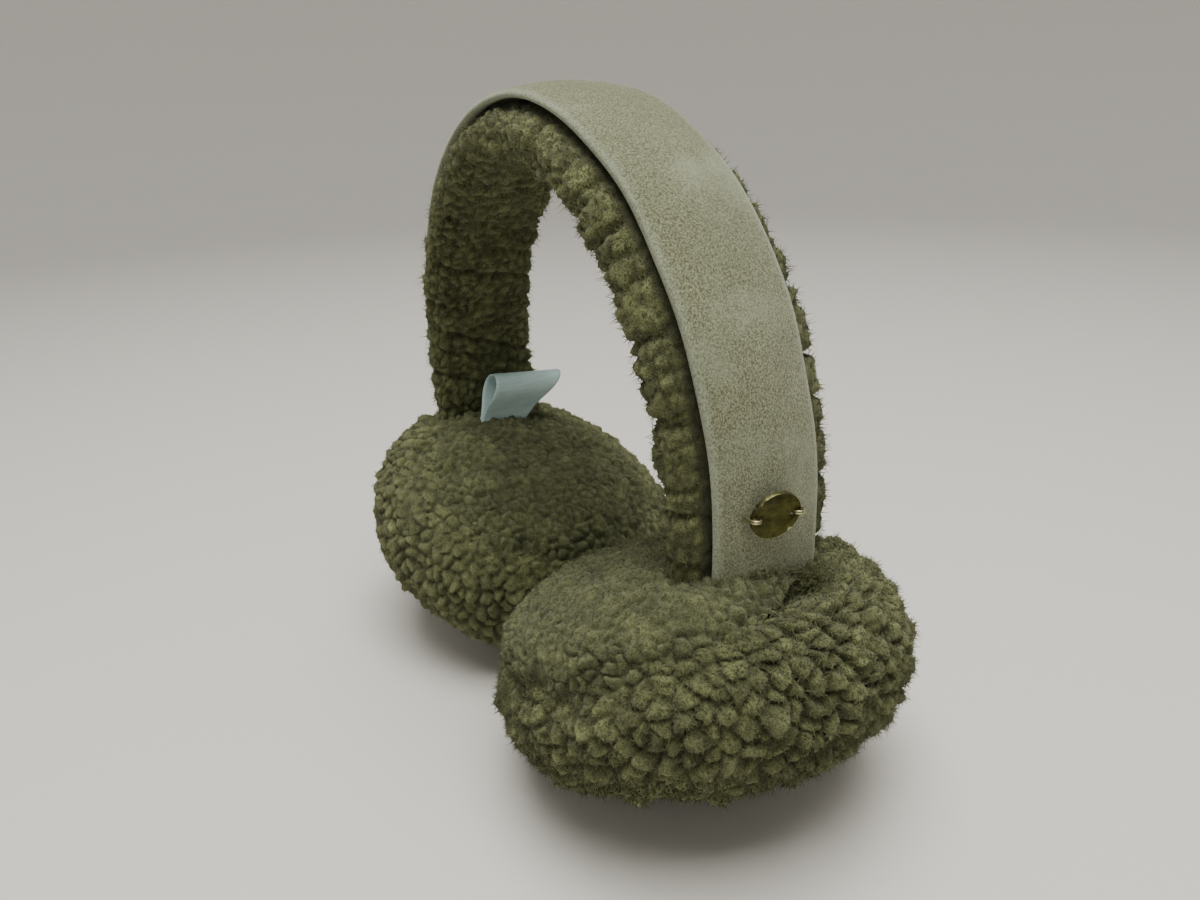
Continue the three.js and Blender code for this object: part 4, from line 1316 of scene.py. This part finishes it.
def bent(a, b, c, d, steps):
    """Points of a smooth bend from a to d that leaves towards b and arrives from c."""
    t = np.linspace(0, 1, steps)[:, None]
    a, b, c, d = (np.array(p) for p in (a, b, c, d))
    return a * (1 - t) ** 3 + 3 * b * t * (1 - t) ** 2 + 3 * c * t**2 * (1 - t) + d * t**3


def tape_line():
    """The loop's outline from one sewn end to the other: forward, and up."""
    half = (LABEL_FOLD - LABEL_WALL) / 2
    shoulder = LABEL_RISE - LABEL_FOLD / 2
    top = LABEL_RISE - LABEL_WALL / 2
    foot = -LABEL_PINCH
    rise = bent((foot, 0), (foot, top * 0.35), (-half, top * 0.45), (-half, shoulder), 12)
    turn = np.linspace(math.pi, 0, 13)[1:-1]
    fold = np.column_stack([half * np.cos(turn), shoulder + half * np.sin(turn)])
    tail = np.array([(foot, -LABEL_TAIL)])
    left = np.concatenate([tail, rise])
    return np.concatenate([left, fold, left[::-1] * [-1, 1]])


def label_mesh():
    """The label's mesh, and the length of its tape."""
    line = tape_line()
    step = np.concatenate([[0], np.cumsum(np.linalg.norm(np.diff(line, axis=0), axis=1))])
    bm = bmesh.new()
    bmesh.ops.create_grid(bm, x_segments=len(line) - 1, y_segments=TAPE_COLUMNS, size=1)
    at = np.array([v.co for v in bm.verts])
    row = np.rint((at[:, 0] + 1) / 2 * (len(line) - 1)).astype(int)
    forward, up = line[row, 0], line[row, 1]
    width_share = at[:, 1] / 2
    rise = up / LABEL_RISE
    spread = LABEL_FOOT + (LABEL_WIDTH - LABEL_FOOT) * rise
    sideways = width_share * spread
    drop = LABEL_DROP * (sideways / LABEL_WIDTH + 0.5) * np.maximum(rise, 0)
    flat = np.column_stack([sideways, step[row], 0 * rise])
    wave = TAPE_WAVE * soft_noise(flat, TAPE_WAVE_SIZE, seed=51)
    places = np.column_stack([
        LABEL_X + forward + wave * np.clip(rise * 4, 0, 1),
        LABEL_Y + sideways + LABEL_SLANT * rise,
        LABEL_Z + up - drop,
    ])
    for vert, place in zip(bm.verts, places):
        vert.co = place
    thicken(bm, TAPE_THICK)
    return smooth_mesh(bm, "satin_label"), float(step[-1])


# %% Satin
SATIN_DARK = (0.33, 0.47, 0.46, 1)
SATIN_PALE = (0.48, 0.62, 0.62, 1)
SATIN_GRIME = (0.30, 0.38, 0.36, 1)

satin, tree, shader = new_material(
    "satin tape", Roughness=0.38, Sheen_Weight=0.2, Sheen_Roughness=0.3, Specular_IOR_Level=0.45)
weave = noise_of(tree, 700, detail=2, stretch=(1, 0.15, 6))
colour = mixed(tree, spread_of(tree, weave, 0.3, 0.7), SATIN_DARK, SATIN_PALE)
grime = noise_of(tree, 90, detail=4)
colour = mixed(tree, spread_of(tree, grime, 0.5, 0.8, 0, 0.3), colour, SATIN_GRIME)
tree.links.new(colour, shader.inputs["Base Color"])
add_bump(tree, shader, weave, 0.05 * MM)
label_shape, tape_length = label_mesh()
label_piece = add_piece("satin_label", label_shape, satin, "label_satin", "care_label")
print(f"label tape: {LABEL_WIDTH / MM:.0f} mm wide and {tape_length / MM:.0f} mm long")

# %% [markdown]
# ## A loose thread
# A short white end of sewing thread stands out at the suede's lower corner on the right leg.

# %% Leave a thread end
THREAD_RADIUS = 0.3 * MM
THREAD_DARK = (0.5, 0.52, 0.5, 1)
THREAD_PALE = (0.8, 0.8, 0.76, 1)

thread, tree, shader = new_material("thread", Roughness=0.8, Sheen_Weight=0.3)
twist = noise_of(tree, 2500, detail=2)
colour = mixed(tree, twist, THREAD_DARK, THREAD_PALE)
tree.links.new(colour, shader.inputs["Base Color"])
thread_along = ARCH_LENGTH - np.array([33, 34, 35.5, 37]) * MM
thread_across = HALF_BAND + np.array([-1.2, -0.3, 0.5, 0.9]) * MM
thread_out = np.array([0.6, 1.4, 1.6, 1.2]) * MM
thread_line = [Vector(p) for p in on_band(thread_along, thread_across, thread_out)]
wire_piece("thread_end", [thread_line], THREAD_RADIUS, thread, "label_satin")

# %% [markdown]
# ## Floor and light
# The floor is plain and pale, and curves up far behind into a wall on every side, so that no
# horizon shows. Its profile is spun round once. A large soft light hangs over the earmuffs like a
# room's ceiling light, a second one fills in from the camera's side, and an even sky does the rest.

# %% Floor, lights and sky
FLOOR_FLAT = 1.3
FLOOR_BEND = 0.9
WALL_HEIGHT = 2.5
FLOOR_PAINT = (0.70, 0.68, 0.64, 1)
LIGHT_TARGET = Vector((0, 0, 0.08))

floor_bm = bmesh.new()
bend_turns = np.linspace(0, math.pi / 2, 12)
bend = [(FLOOR_FLAT + FLOOR_BEND * math.sin(a), FLOOR_BEND * (1 - math.cos(a))) for a in bend_turns]
profile = [(0, 0), *bend, (FLOOR_FLAT + FLOOR_BEND, WALL_HEIGHT)]
ring = [floor_bm.verts.new((reach, 0, height)) for reach, height in profile]
edges = [floor_bm.edges.new(pair) for pair in zip(ring, ring[1:])]
bmesh.ops.spin(
    floor_bm, geom=ring + edges, cent=(0, 0, 0), axis=(0, 0, 1), angle=math.tau, steps=64, use_merge=True)
bmesh.ops.remove_doubles(floor_bm, verts=floor_bm.verts, dist=1e-5)
bmesh.ops.recalc_face_normals(floor_bm, faces=floor_bm.faces)
floor_mesh = smooth_mesh(floor_bm, "floor")
floor = bpy.data.objects.new("floor", floor_mesh)
bpy.context.scene.collection.objects.link(floor)
paint, _, _ = new_material("floor paint", Roughness=0.7, Base_Color=FLOOR_PAINT)
floor_mesh.materials.append(paint)


def area_light(name, place, size, power, colour):
    """A square light that looks at the earmuffs."""
    data = bpy.data.lights.new(name, "AREA")
    data.size = size
    data.energy = power
    data.color = colour
    light = bpy.data.objects.new(name, data)
    light.location = place
    light.rotation_euler = (LIGHT_TARGET - Vector(place)).to_track_quat("-Z", "Y").to_euler()
    bpy.context.scene.collection.objects.link(light)


area_light("ceiling", (0.2, -0.1, 1.3), size=0.9, power=26, colour=(1, 0.98, 0.92))
area_light("fill", (0.9, -1.0, 0.7), size=0.8, power=1.5, colour=(1, 0.98, 0.95))
world = bpy.data.worlds.new("room")
world.use_nodes = True
sky = world.node_tree.nodes["Background"]
sky.inputs["Color"].default_value = (0.8, 0.82, 0.85, 1)
sky.inputs["Strength"].default_value = 0.36
bpy.context.scene.world = world
